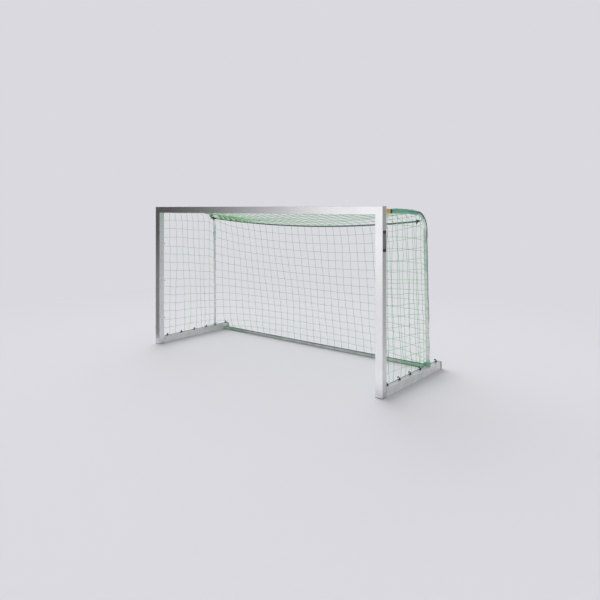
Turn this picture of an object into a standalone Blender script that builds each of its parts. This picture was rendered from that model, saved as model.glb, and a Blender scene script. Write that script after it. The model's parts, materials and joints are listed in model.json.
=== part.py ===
"""Street soccer goal: an aluminium frame on ground bars, with brackets, hooks and a net.

The origin is on the ground, in the middle of the goal's width and depth. The mouth faces -Y.
All sizes are in metres.
"""
import math

import bmesh
import bpy
from mathutils import Matrix, Vector

# Half the outside width, mouth height, and the square section of the posts and crossbar
GOAL_HALF_WIDTH = 1.575
OPENING_HEIGHT = 1.6
SECTION_SIZE = 0.075
SECTION_WALL = 0.003
SECTION_EDGE_RADIUS = 0.006

# Ground frame
GOAL_DEPTH = 1.22
BAR_WIDTH = 0.05
BAR_HEIGHT = 0.075
BAR_WALL = 0.003
BAR_EDGE_RADIUS = 0.004
REAR_TUBE_DIAMETER = 0.035
REAR_TUBE_WALL = 0.0025
REAR_TUBE_SETBACK = 0.085

# Plugs in the open ends of the sections
FOOT_PLUG_HEAD = 0.004
FOOT_PLUG_DEPTH = 0.025
BAR_PLUG_HEAD = 0.038
BAR_PLUG_DEPTH = 0.03

# Net brackets
BRACKET_TUBE_DIAMETER = 0.03
BRACKET_ARM_BELOW_CROSSBAR = 0.0075
BRACKET_ARM_INSET = 0.0125
BRACKET_ARM_DROOP = 0.022
BRACKET_BEND_RADIUS = 0.18
BRACKET_BEND_DEPTH = 0.9433
BRACKET_LEAN = 0.0275
BRACKET_FOOT_OUTSET = 0.005
SLEEVE_WALL = 0.0074
SLEEVE_LENGTH = 0.12
COLLAR_WALL = 0.0034
COLLAR_LENGTH = 0.04
SOCKET_WALL = 0.0049
SOCKET_HEIGHT = 0.03

# Clips inside the brackets' bends
CLIP_WALL = 0.003
CLIP_WIDTH = 0.02
CLIP_TAB_REACH = 0.05
CLIP_TAB_WIDTH = 0.03
CLIP_TAB_THICKNESS = 0.008
CLIP_TAB_OFFSET = 0.01
CLIP_EYE_REACH = 0.033

# Hooks
HOOK_BASE_DIAMETER = 0.022
HOOK_BASE_THICKNESS = 0.003
HOOK_SHOULDER = 0.0002
HOOK_STEM_DIAMETER = 0.009
HOOK_STEM_HEIGHT = 0.017
HOOK_CURL_RADIUS = 0.0085
HOOK_TIP_DIAMETER = 0.007
HOOK_TIP_DROP = 0.005
BAR_HOOK_INSET = 0.0125
BAR_HOOK_DEPTHS = (0.15, 0.375, 0.59, 0.80)
REAR_HOOK_SETBACK = 0.06
POST_HOOK_ROWS = (1, 4, 7)
CROSSBAR_HOOK_COLUMNS = (2, 6, 10, 14, 18)

# Net: a lattice a little coarser than the real mesh of 100 mm
NET_CORD_DIAMETER = 0.005
NET_COLUMNS = 21
NET_BACK_ROWS = 10
NET_ROOF_ROWS = 6
NET_SIDE_ROWS = 10
NET_BACK_HOLD = 8
NET_GATHER_HEIGHT = 0.2
ROPE_DIAMETER = 0.006
ROPE_SAG = 0.0822
ROPE_BOW = 0.0746

# Clearances between pieces that touch
SEAT_GAP = 0.0003
BORE_CLEARANCE = 0.0006
BEND_CLEARANCE = 0.001
STEM_CLEARANCE = 0.0005
ROPE_CLEARANCE = 0.0008

# How shapes are rounded: merging, shading, and counts of flat sides and steps
MERGE_DISTANCE = 0.00001
SECTION_SMOOTH_ANGLE = 40
SWEEP_SMOOTH_ANGLE = 60
SWEEP_ROUND_STEPS = 2
BRACKET_ROUND_STEPS = 3
HOOK_ROUND_STEPS = 1
CORNER_STEPS = 3
ROUND_SIDES = 16
ARM_STEPS = 5
BEND_STEPS = 9
CURL_STEPS = 4
ROPE_STEPS = 64

# Values that follow from the sizes above
FRONT_Y = -GOAL_DEPTH / 2
REAR_Y = GOAL_DEPTH / 2
SECTION_BACK_Y = FRONT_Y + SECTION_SIZE
OUTER_X = GOAL_HALF_WIDTH
POST_X = OUTER_X - SECTION_SIZE / 2
BAR_INNER_X = OUTER_X - BAR_WIDTH
CROSSBAR_Z = OPENING_HEIGHT + SECTION_SIZE / 2
REAR_TUBE_Y = REAR_Y - REAR_TUBE_SETBACK
ARM_X = POST_X - BRACKET_ARM_INSET
ARM_Z = CROSSBAR_Z - BRACKET_ARM_BELOW_CROSSBAR
FOOT_X = POST_X + BRACKET_FOOT_OUTSET
FOOT_Y = FRONT_Y + BRACKET_BEND_DEPTH + BRACKET_LEAN
HOOK_X = BAR_INNER_X + BAR_HOOK_INSET
BAR_HOOK_YS = [FRONT_Y + depth for depth in BAR_HOOK_DEPTHS] + [REAR_Y - REAR_HOOK_SETBACK]
RING_BORE = BRACKET_TUBE_DIAMETER + 2 * BORE_CLEARANCE
CLIP_BORE = BRACKET_TUBE_DIAMETER + 2 * BEND_CLEARANCE
SLEEVE_DIAMETER = RING_BORE + 2 * SLEEVE_WALL
NET_HALF = NET_CORD_DIAMETER / 2
STEM_TO_CORD = HOOK_STEM_DIAMETER / 2 + STEM_CLEARANCE + NET_HALF
FACE_TO_CORD = SEAT_GAP + HOOK_BASE_THICKNESS + SEAT_GAP + NET_HALF
BRACKET_TO_CORD = SLEEVE_DIAMETER / 2 + SEAT_GAP + NET_HALF
ROPE_TO_CORD = ROPE_DIAMETER / 2 + ROPE_CLEARANCE + NET_HALF
NET_HALF_WIDTH = ARM_X - BRACKET_TO_CORD
TAB_INNER_X = ARM_X - CLIP_TAB_OFFSET - CLIP_TAB_THICKNESS / 2
ROPE_END_X = TAB_INNER_X - ROPE_CLEARANCE

# Route of the rope: shares of its half span, each with its share of the sag and of the bow to the rear
ROPE_ROUTE = (
    (-1.000, 0.000), (-0.900, 0.190), (-0.790, 0.376), (-0.675, 0.544), (-0.550, 0.697), (-0.415, 0.828),
    (-0.280, 0.922), (-0.140, 0.980), (0.000, 1.000), (0.140, 0.980), (0.280, 0.922), (0.415, 0.828),
    (0.550, 0.697), (0.675, 0.544), (0.790, 0.376), (0.900, 0.190), (1.000, 0.000),
)

ALUMINIUM = ("anodised_aluminium", (0.78, 0.78, 0.80, 1.0), 0.35, 0.9)
TUBE_METAL = ("bracket_tube", (0.45, 0.46, 0.47, 1.0), 0.4, 0.9)
BLACK_PLASTIC = ("black_plastic", (0.03, 0.03, 0.03, 1.0), 0.5, 0.0)
GREY_PLASTIC = ("grey_plastic", (0.22, 0.22, 0.23, 1.0), 0.55, 0.0)
ORANGE_PLASTIC = ("orange_plastic", (0.80, 0.42, 0.08, 1.0), 0.45, 0.0)
HOOK_PLASTIC = ("hook_plastic", (0.015, 0.05, 0.035, 1.0), 0.45, 0.0)
NET_CORD = ("green_net_cord", (0.10, 0.42, 0.28, 1.0), 0.8, 0.0)
ROPE_CORD = ("dark_green_rope", (0.04, 0.20, 0.13, 1.0), 0.8, 0.0)


def clear_objects():
    """Remove every object of the open file."""
    for old in list(bpy.data.objects):
        bpy.data.objects.remove(old, do_unlink=True)


def make_material(finish):
    """Return the Principled material of a finish, made once."""
    name, colour, roughness, metallic = finish
    material = bpy.data.materials.get(name)
    if material is None:
        material = bpy.data.materials.new(name)
        material.use_nodes = True
        shader = material.node_tree.nodes["Principled BSDF"]
        shader.inputs["Base Color"].default_value = colour
        shader.inputs["Roughness"].default_value = roughness
        shader.inputs["Metallic"].default_value = metallic
        material.diffuse_color = colour
    return material


class Assembly:
    """The collection that holds the pieces, and the empty that carries them."""

    def __init__(self, name):
        self.collection = bpy.data.collections.new(name)
        bpy.context.scene.collection.children.link(self.collection)
        self.base = bpy.data.objects.new(name + "_base", None)
        self.collection.objects.link(self.base)

    def add(self, name, mesh, finish, location=(0, 0, 0), turn=None):
        """Place one piece and give it its material."""
        mesh.name = name
        mesh.materials.clear()
        mesh.materials.append(make_material(finish))
        piece = bpy.data.objects.new(name, mesh)
        piece.location = location
        if turn is not None:
            piece.rotation_euler = turn.to_euler()
        piece.parent = self.base
        self.collection.objects.link(piece)
        return piece


def curve_to_mesh(curve, smooth_angle=SECTION_SMOOTH_ANGLE):
    """Turn a curve into a mesh with its caps joined on, and remove the curve."""
    holder = bpy.data.objects.new("shape", curve)
    bpy.context.scene.collection.objects.link(holder)
    evaluated = holder.evaluated_get(bpy.context.evaluated_depsgraph_get())
    mesh = bpy.data.meshes.new_from_object(evaluated)
    bpy.data.objects.remove(holder, do_unlink=True)
    bpy.data.curves.remove(curve)
    tidy = bmesh.new()
    tidy.from_mesh(mesh)
    bmesh.ops.remove_doubles(tidy, verts=tidy.verts, dist=MERGE_DISTANCE)
    bmesh.ops.recalc_face_normals(tidy, faces=tidy.faces)
    tidy.to_mesh(mesh)
    tidy.free()
    mesh.shade_smooth()
    mesh.set_sharp_from_angle(angle=math.radians(smooth_angle))
    return mesh


def rounded_rectangle(width, height, radius):
    """Outline points of a rectangle with rounded corners, anticlockwise."""
    points = []
    for quarter, (side_x, side_y) in enumerate(((1, 1), (-1, 1), (-1, -1), (1, -1))):
        centre_x = side_x * (width / 2 - radius)
        centre_y = side_y * (height / 2 - radius)
        for step in range(CORNER_STEPS + 1):
            angle = math.pi / 2 * (quarter + step / CORNER_STEPS)
            points.append((centre_x + radius * math.cos(angle), centre_y + radius * math.sin(angle)))
    return points


def circle(diameter):
    """Outline points of a circle."""
    turn = 2 * math.pi / ROUND_SIDES
    return [(diameter / 2 * math.cos(turn * side), diameter / 2 * math.sin(turn * side))
            for side in range(ROUND_SIDES)]


def hollow_section(outer, inner, length):
    """A straight hollow section along local Z, centred on its origin."""
    curve = bpy.data.curves.new("section", "CURVE")
    curve.dimensions = "2D"
    curve.fill_mode = "BOTH"
    curve.extrude = length / 2
    for outline in (outer, inner):
        spline = curve.splines.new("POLY")
        spline.points.add(len(outline) - 1)
        for point, (x, y) in zip(spline.points, outline):
            point.co = (x, y, 0, 1)
        spline.use_cyclic_u = True
    return curve_to_mesh(curve)


def box_section(width, height, wall, radius, length):
    """A hollow rectangular section whose inner corners follow its outer ones."""
    inner_radius = max(radius - wall, radius / 4)
    outer = rounded_rectangle(width, height, radius)
    inner = rounded_rectangle(width - 2 * wall, height - 2 * wall, inner_radius)
    return hollow_section(outer, inner, length)


def ring(outer_diameter, bore_diameter, length):
    """A round sleeve along local Z, centred on its origin."""
    return hollow_section(circle(outer_diameter), circle(bore_diameter), length)


def swept_tube(points, diameter, round_steps=SWEEP_ROUND_STEPS, shares=None):
    """A round tube along points, with filled ends; shares scale the diameter at each point."""
    curve = bpy.data.curves.new("sweep", "CURVE")
    curve.dimensions = "3D"
    curve.bevel_depth = diameter / 2
    curve.bevel_resolution = round_steps
    curve.use_fill_caps = True
    spline = curve.splines.new("POLY")
    spline.points.add(len(points) - 1)
    for index, (point, place) in enumerate(zip(spline.points, points)):
        point.co = (*place, 1)
        point.radius = shares[index] if shares else 1.0
    return curve_to_mesh(curve, SWEEP_SMOOTH_ANGLE)


def mitre(mesh, end, outward):
    """Slope one end of a section at 45 degrees, longest on the side that outward points to."""
    for vertex in mesh.vertices:
        if vertex.co.z * end > 0:
            vertex.co.z += end * vertex.co.dot(outward)


def stepped_plug(width, height, radius, wall, head, depth):
    """A plug along local Z: its head lies below the origin, its tongue stands in the section."""
    mesh = bpy.data.meshes.new("plug")
    body = bmesh.new()
    bmesh.ops.create_cube(body, size=1)
    bmesh.ops.scale(body, vec=(width, height, head), verts=body.verts)
    bmesh.ops.translate(body, vec=(0, 0, -head / 2), verts=body.verts)
    uprights = [edge for edge in body.edges if abs(edge.verts[0].co.z - edge.verts[1].co.z) > head / 2]
    bmesh.ops.bevel(body, geom=uprights, offset=radius, segments=CORNER_STEPS, affect="EDGES",
                    profile=0.5)
    seat = max(body.faces, key=lambda face: face.calc_center_median().z)
    bmesh.ops.inset_region(body, faces=[seat], thickness=wall + BORE_CLEARANCE, use_even_offset=True)
    grown = bmesh.ops.extrude_face_region(body, geom=[seat])
    tongue = [item for item in grown["geom"] if isinstance(item, bmesh.types.BMVert)]
    bmesh.ops.translate(body, vec=(0, 0, depth), verts=tongue)
    bmesh.ops.delete(body, geom=[seat], context="FACES")
    bmesh.ops.recalc_face_normals(body, faces=body.faces)
    body.to_mesh(mesh)
    body.free()
    return mesh


def smooth_route(points, steps):
    """Points at even steps along a smooth curve through the given points."""
    places = [Vector(point) for point in points]
    route = []
    for step in range(steps + 1):
        along = step / steps * (len(places) - 1)
        index = min(int(along), len(places) - 2)
        share = along - index
        before = places[max(index - 1, 0)]
        start, end = places[index], places[index + 1]
        after = places[min(index + 2, len(places) - 1)]
        leave = (end - before) / 2
        arrive = (after - start) / 2
        square, cube = share * share, share ** 3
        route.append((2 * cube - 3 * square + 1) * start + (cube - 2 * square + share) * leave
                     + (3 * square - 2 * cube) * end + (cube - square) * arrive)
    return route


def rope_points(eye):
    """The rope's points from the left clip's eye to the right one's; eye gives their depth and height."""
    points = [(place * ROPE_END_X, eye.x + ROPE_BOW * slack, eye.y - ROPE_SAG * slack)
              for place, slack in ROPE_ROUTE]
    return smooth_route(points, ROPE_STEPS)


def point_at_x(points, x):
    """The point of a left-to-right polyline at a place along the goal's width."""
    for start, end in zip(points, points[1:]):
        if start.x <= x <= end.x:
            return start.lerp(end, (x - start.x) / (end.x - start.x))
    return points[0] if x < 0 else points[-1]


class BracketRoute:
    """Centre line of the right bracket: arm, bend and upright, each as (point, inward direction)."""

    def __init__(self):
        start = SECTION_BACK_Y + SEAT_GAP
        straight_end = start + SLEEVE_LENGTH + COLLAR_LENGTH + 2 * SEAT_GAP
        socket_top = BAR_HEIGHT + SEAT_GAP + SOCKET_HEIGHT + BEND_CLEARANCE
        radius = BRACKET_BEND_RADIUS
        centre_y = FRONT_Y + BRACKET_BEND_DEPTH - radius
        arm_angle = -math.atan(2 * BRACKET_ARM_DROOP / (centre_y - straight_end))
        arm_span = centre_y - radius * math.sin(arm_angle) - straight_end
        arm_end_z = ARM_Z - BRACKET_ARM_DROOP
        centre_z = arm_end_z - radius * math.cos(arm_angle)
        end_angle = -math.pi / 2 + math.atan(BRACKET_LEAN / (centre_z - socket_top))
        self.arm = [(start, ARM_Z)]
        for step in range(ARM_STEPS):
            share = step / ARM_STEPS
            self.arm.append((straight_end + arm_span * share,
                             ARM_Z - BRACKET_ARM_DROOP * share ** 2))
        self.bend = []
        for step in range(BEND_STEPS + 1):
            angle = arm_angle + (end_angle - arm_angle) * step / BEND_STEPS + math.pi / 2
            self.bend.append((centre_y + radius * math.cos(angle), centre_z + radius * math.sin(angle)))
        self.middle_angle = (arm_angle + end_angle) / 2 + math.pi / 2
        outward = Vector((math.cos(self.middle_angle), math.sin(self.middle_angle)))
        self.middle = Vector((centre_y, centre_z)) + outward * radius
        self.clip_eye = self.middle - outward * CLIP_EYE_REACH
        self.socket_top = socket_top
        self.foot = [(FOOT_Y, socket_top), (FOOT_Y, BAR_HEIGHT + SEAT_GAP)]

    def sideways(self, z):
        """How far out the tube stands at a height: upright arm, leaning leg, upright foot."""
        top = self.bend[-1][1]
        share = min(max((top - z) / (top - self.socket_top), 0), 1)
        return ARM_X + (FOOT_X - ARM_X) * share

    def points(self, side):
        """The whole route of the bracket on one side of the goal."""
        outline = self.arm + self.bend + self.foot
        return [Vector((side * self.sideways(z), y, z)) for y, z in outline]

    def inside(self, outline, offset):
        """Points at an offset inside an outline, square to its run."""
        moved = []
        for index, (y, z) in enumerate(outline):
            before = outline[max(index - 1, 0)]
            after = outline[min(index + 1, len(outline) - 1)]
            run = Vector((after[0] - before[0], after[1] - before[1])).normalized()
            moved.append(Vector((y + run.y * offset, z - run.x * offset)))
        return moved


def along_polyline(points, share):
    """The point at a share of a polyline's length."""
    lengths = [(end - start).length for start, end in zip(points, points[1:])]
    left = share * sum(lengths)
    for start, end, length in zip(points, points[1:], lengths):
        if left <= length:
            return start.lerp(end, left / length)
        left -= length
    return points[-1]


def net_panel(columns, rows, bottom, top, first, last, hold=1):
    """A net between four edges: bottom and top run with the columns, first and last with the rows.

    Each edge is a function from 0 to 1 that gives a point, and the corners agree. A hold above 1
    keeps the shape of first and last near those edges.
    """
    grid = bmesh.new()
    bmesh.ops.create_grid(grid, x_segments=columns, y_segments=rows, size=0.5)
    for vertex in grid.verts:
        u, v = vertex.co.x + 0.5, vertex.co.y + 0.5
        across = (1 - v) * bottom(u) + v * top(u)
        first_bow = first(v) - bottom(0).lerp(top(0), v)
        last_bow = last(v) - bottom(1).lerp(top(1), v)
        vertex.co = across + (1 - u) ** hold * first_bow + u ** hold * last_bow
    mesh = bpy.data.meshes.new("net")
    grid.to_mesh(mesh)
    grid.free()
    return mesh


def add_net(goal, name, mesh):
    """Place a net panel and give its cords their thickness."""
    net = goal.add(name, mesh, NET_CORD)
    cords = net.modifiers.new("cords", "WIREFRAME")
    cords.thickness = NET_CORD_DIAMETER
    cords.use_even_offset = True
    cords.use_boundary = True
    cords.use_replace = True
    return net


def straight(start, end):
    """A straight edge as a function from 0 to 1."""
    return lambda share: Vector(start).lerp(Vector(end), share)


def add_frame(goal):
    """Posts, crossbar, ground bars, rear tube and their plugs."""
    mitre_gap = SEAT_GAP * math.sqrt(0.5)
    bar = box_section(SECTION_SIZE, SECTION_SIZE, SECTION_WALL, SECTION_EDGE_RADIUS,
                      2 * (POST_X - mitre_gap))
    for end in (-1, 1):
        mitre(bar, end, Vector((0, 1, 0)))
    lie_along_x = Matrix.Rotation(math.pi / 2, 3, "Z") @ Matrix.Rotation(math.pi / 2, 3, "X")
    goal.add("crossbar", bar, ALUMINIUM, (0, FRONT_Y + SECTION_SIZE / 2, CROSSBAR_Z), lie_along_x)

    post_bottom = FOOT_PLUG_HEAD + SEAT_GAP
    post_top = CROSSBAR_Z - mitre_gap
    bar_front = SECTION_BACK_Y + SEAT_GAP
    bar_rear = REAR_Y - BAR_PLUG_HEAD - SEAT_GAP
    lie_along_y = Matrix.Rotation(-math.pi / 2, 3, "X")
    plug_from_rear = Matrix.Rotation(math.pi / 2, 3, "X")
    for side_name, side in (("left", -1), ("right", 1)):
        post = box_section(SECTION_SIZE, SECTION_SIZE, SECTION_WALL, SECTION_EDGE_RADIUS,
                           post_top - post_bottom)
        mitre(post, 1, Vector((side, 0, 0)))
        post_place = (side * POST_X, FRONT_Y + SECTION_SIZE / 2, (post_bottom + post_top) / 2)
        goal.add(side_name + "_post", post, ALUMINIUM, post_place)
        plug = stepped_plug(SECTION_SIZE, SECTION_SIZE, SECTION_EDGE_RADIUS, SECTION_WALL,
                            FOOT_PLUG_HEAD, FOOT_PLUG_DEPTH)
        goal.add(side_name + "_post_foot_plug", plug, BLACK_PLASTIC,
                 (side * POST_X, FRONT_Y + SECTION_SIZE / 2, FOOT_PLUG_HEAD))
        bar_x = side * (OUTER_X - BAR_WIDTH / 2)
        ground_bar = box_section(BAR_WIDTH, BAR_HEIGHT, BAR_WALL, BAR_EDGE_RADIUS, bar_rear - bar_front)
        goal.add(side_name + "_ground_bar", ground_bar, ALUMINIUM,
                 (bar_x, (bar_front + bar_rear) / 2, BAR_HEIGHT / 2), lie_along_y)
        end_plug = stepped_plug(BAR_WIDTH, BAR_HEIGHT, BAR_EDGE_RADIUS, BAR_WALL,
                                BAR_PLUG_HEAD, BAR_PLUG_DEPTH)
        goal.add(side_name + "_bar_end_plug", end_plug, GREY_PLASTIC,
                 (bar_x, REAR_Y - BAR_PLUG_HEAD, BAR_HEIGHT / 2), plug_from_rear)

    rear_tube = ring(REAR_TUBE_DIAMETER, REAR_TUBE_DIAMETER - 2 * REAR_TUBE_WALL,
                     2 * (BAR_INNER_X - SEAT_GAP))
    goal.add("rear_ground_tube", rear_tube, TUBE_METAL, (0, REAR_TUBE_Y, REAR_TUBE_DIAMETER / 2),
             lie_along_x)


def corner_clip(side):
    """A ring round the bend's middle with a flat tab that reaches inward beside the net."""
    clip = ring(CLIP_BORE + 2 * CLIP_WALL, CLIP_BORE, CLIP_WIDTH)
    tab = bpy.data.meshes.new("tab")
    shape = bmesh.new()
    wall_middle = (CLIP_BORE + CLIP_WALL) / 2
    tab_start = math.sqrt(wall_middle ** 2 - (CLIP_TAB_OFFSET - CLIP_TAB_THICKNESS / 2) ** 2)
    tab_length = CLIP_TAB_REACH - tab_start
    bmesh.ops.create_cube(shape, size=1)
    bmesh.ops.scale(shape, vec=(CLIP_TAB_THICKNESS, tab_length, CLIP_TAB_WIDTH), verts=shape.verts)
    for vertex in shape.verts:
        if vertex.co.y < 0:
            vertex.co.z *= CLIP_WIDTH / CLIP_TAB_WIDTH
    bmesh.ops.translate(shape, vec=(-side * CLIP_TAB_OFFSET, tab_start + tab_length / 2, 0),
                        verts=shape.verts)
    shape.to_mesh(tab)
    shape.free()
    holder = bpy.data.objects.new("clip", clip)
    cutter = bpy.data.objects.new("tab", tab)
    for item in (holder, cutter):
        bpy.context.scene.collection.objects.link(item)
    join = holder.modifiers.new("join", "BOOLEAN")
    join.operation = "UNION"
    join.object = cutter
    joined = bpy.data.meshes.new_from_object(holder.evaluated_get(bpy.context.evaluated_depsgraph_get()))
    for item in (holder, cutter):
        bpy.data.objects.remove(item, do_unlink=True)
    return joined


def add_brackets(goal, route):
    """Net brackets with their sleeves, collars, sockets and clips."""
    lie_along_y = Matrix.Rotation(-math.pi / 2, 3, "X")
    sleeve_y = SECTION_BACK_Y + SEAT_GAP + SLEEVE_LENGTH / 2
    collar_y = sleeve_y + (SLEEVE_LENGTH + COLLAR_LENGTH) / 2 + SEAT_GAP
    socket_z = BAR_HEIGHT + SEAT_GAP + SOCKET_HEIGHT / 2
    for side_name, side in (("left", -1), ("right", 1)):
        goal.add(side_name + "_net_bracket",
                 swept_tube(route.points(side), BRACKET_TUBE_DIAMETER,
                            BRACKET_ROUND_STEPS), TUBE_METAL)
        goal.add(side_name + "_bracket_sleeve", ring(SLEEVE_DIAMETER, RING_BORE, SLEEVE_LENGTH),
                 ORANGE_PLASTIC, (side * ARM_X, sleeve_y, ARM_Z), lie_along_y)
        goal.add(side_name + "_bracket_collar",
                 ring(RING_BORE + 2 * COLLAR_WALL, RING_BORE, COLLAR_LENGTH), BLACK_PLASTIC,
                 (side * ARM_X, collar_y, ARM_Z), lie_along_y)
        goal.add(side_name + "_bracket_foot_socket",
                 ring(RING_BORE + 2 * SOCKET_WALL, RING_BORE, SOCKET_HEIGHT),
                 BLACK_PLASTIC, (side * FOOT_X, FOOT_Y, socket_z))
        tilt = Matrix.Rotation(route.middle_angle + math.pi, 3, "X")
        y, z = route.middle
        goal.add(side_name + "_corner_clip", corner_clip(side), BLACK_PLASTIC,
                 (side * ARM_X, y, z), tilt)


def add_nets(goal, route):
    """Rope and net panels."""
    rope = rope_points(route.clip_eye)
    goal.add("rear_top_rope", swept_tube(rope, ROPE_DIAMETER), ROPE_CORD)

    def across(y, z, half_width=NET_HALF_WIDTH):
        return straight((-half_width, y, z), (half_width, y, z))

    def by_rope(offset):
        return lambda share: point_at_x(rope, (2 * share - 1) * NET_HALF_WIDTH) + Vector((0, offset, 0))

    back_bottom = across(REAR_TUBE_Y, REAR_TUBE_DIAMETER + SEAT_GAP + NET_HALF)
    back_top = by_rope(ROPE_TO_CORD)

    def back_side(end):
        x = back_top(end).x
        upright_top = Vector((x, *route.bend[-1]))
        low_rise = (NET_GATHER_HEIGHT - route.socket_top) / (upright_top.z - route.socket_top)
        upright_low = Vector((x, *route.foot[0])).lerp(upright_top, low_rise)
        edge = [back_bottom(end), upright_low, upright_top, back_top(end)]
        return lambda share: along_polyline(edge, share)

    back = net_panel(NET_COLUMNS, NET_BACK_ROWS, back_bottom, back_top, back_side(0), back_side(1),
                     NET_BACK_HOLD)
    add_net(goal, "net_back", back)

    roof_front = across(SECTION_BACK_Y + FACE_TO_CORD, CROSSBAR_Z - STEM_TO_CORD)
    roof_rear = by_rope(-ROPE_TO_CORD)

    def roof_side(end):
        front, rear = roof_front(end), roof_rear(end)
        drop = rear.z - front.z
        return lambda share: Vector((front.x, front.y + (rear.y - front.y) * share,
                                     front.z + drop * share ** 3))

    roof = net_panel(NET_COLUMNS, NET_ROOF_ROWS, roof_front, roof_rear, roof_side(0), roof_side(1))
    add_net(goal, "net_roof", roof)

    knots = side_net_knots()
    front_y = knots[0]
    rear_outline = route.inside(route.bend[BEND_STEPS // 2:] + route.foot[:1], BRACKET_TO_CORD)
    rear_outline.append(Vector((knots[-1], BAR_HEIGHT + FACE_TO_CORD)))
    top_outline = route.inside(route.arm + route.bend[:BEND_STEPS // 2 + 1], BRACKET_TO_CORD)
    top_outline[0].x = front_y
    top_outline[-1] = rear_outline[0]
    cord_x = HOOK_X - STEM_TO_CORD
    for side_name, side in (("left", -1), ("right", 1)):
        def bottom(share, side=side):
            y = knots[round(share * (len(knots) - 1))]
            return Vector((side * cord_x, y, BAR_HEIGHT + FACE_TO_CORD))

        def top(share, side=side):
            place = along_polyline(top_outline, share)
            return Vector((side * (cord_x + (ARM_X - cord_x) * share), place.x, place.y))

        def rear(share, side=side):
            place = along_polyline(rear_outline, 1 - share)
            return Vector((side * (cord_x + (ARM_X - cord_x) * share), place.x, place.y))

        front = straight(bottom(0), top(0))
        panel = net_panel(len(knots) - 1, NET_SIDE_ROWS, bottom, top, front, rear)
        add_net(goal, "net_" + side_name, panel)


def side_net_knots():
    """Depths where a side net's upright cords meet its lower edge: two cords between hook and hook."""
    front = SECTION_BACK_Y + FACE_TO_CORD
    rear = FOOT_Y - BRACKET_TO_CORD
    hooks = [y for y in BAR_HOOK_YS if y < rear]
    knots = [front]
    for near, far in zip(hooks, hooks[1:] + [rear]):
        knots += [near + (far - near) / 4, near + (far - near) * 3 / 4]
    return [*knots, rear]


def hook_mesh():
    """A hook: round base, stem along local Z, and a curl that comes down on the -X side."""
    base = HOOK_BASE_DIAMETER / HOOK_STEM_DIAMETER
    points = [(0, 0, 0), (0, 0, HOOK_BASE_THICKNESS), (0, 0, HOOK_BASE_THICKNESS + HOOK_SHOULDER),
              (0, 0, HOOK_STEM_HEIGHT)]
    shares = [base, base, 1.0, 1.0]
    tip_share = HOOK_TIP_DIAMETER / HOOK_STEM_DIAMETER
    for index in range(1, CURL_STEPS + 1):
        angle = math.pi * index / CURL_STEPS
        points.append((HOOK_CURL_RADIUS * (math.cos(angle) - 1), 0,
                       HOOK_STEM_HEIGHT + HOOK_CURL_RADIUS * math.sin(angle)))
        shares.append(1 + (tip_share - 1) * index / CURL_STEPS)
    points.append((-2 * HOOK_CURL_RADIUS, 0, HOOK_STEM_HEIGHT - HOOK_TIP_DROP))
    shares.append(tip_share)
    return swept_tube(points, HOOK_STEM_DIAMETER, HOOK_ROUND_STEPS, shares)


def add_hooks(goal):
    """Hooks on the ground bars, the posts' backs and the crossbar's back."""
    half_turn = Matrix.Rotation(math.pi, 3, "Z")
    stand = Matrix.Identity(3)
    point_back = Matrix.Rotation(-math.pi / 2, 3, "X")
    back_y = SECTION_BACK_Y + SEAT_GAP
    row_height = side_net_row_height()
    for side_name, side in (("left", -1), ("right", 1)):
        inward = half_turn if side < 0 else stand
        for number, y in enumerate(BAR_HOOK_YS, 1):
            goal.add(f"{side_name}_bar_hook_{number}", hook_mesh(), HOOK_PLASTIC,
                     (side * HOOK_X, y, BAR_HEIGHT + SEAT_GAP), inward)
        for number, row in enumerate(POST_HOOK_ROWS, 1):
            height = BAR_HEIGHT + FACE_TO_CORD + (row + 0.5) * row_height
            goal.add(f"{side_name}_post_hook_{number}", hook_mesh(), HOOK_PLASTIC,
                     (side * HOOK_X, back_y, height), point_back @ inward)
    curl_down = point_back @ Matrix.Rotation(-math.pi / 2, 3, "Z")
    column_width = 2 * NET_HALF_WIDTH / NET_COLUMNS
    for number, column in enumerate(CROSSBAR_HOOK_COLUMNS, 1):
        x = (column + 0.5) * column_width - NET_HALF_WIDTH
        goal.add(f"crossbar_hook_{number}", hook_mesh(), HOOK_PLASTIC, (x, back_y, CROSSBAR_Z), curl_down)


def side_net_row_height():
    """Height of one row of a side net at the post."""
    top = ARM_Z - BRACKET_TO_CORD
    return (top - BAR_HEIGHT - FACE_TO_CORD) / NET_SIDE_ROWS


def main():
    """Build the goal."""
    clear_objects()
    goal = Assembly("street_soccer_goal")
    route = BracketRoute()
    add_frame(goal)
    add_brackets(goal, route)
    add_nets(goal, route)
    add_hooks(goal)


main()
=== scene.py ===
"""Street soccer goal: the finished look of every piece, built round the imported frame.

The origin is on the ground in the middle of the goal. X runs to the right, Y to the rear and Z up,
all in metres. The mouth faces -Y.
"""
import json
import logging
import math
from dataclasses import dataclass
from enum import Enum, IntEnum
from typing import Callable, Sequence

import bpy
import numpy as np
from mathutils import Matrix, Vector


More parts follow.
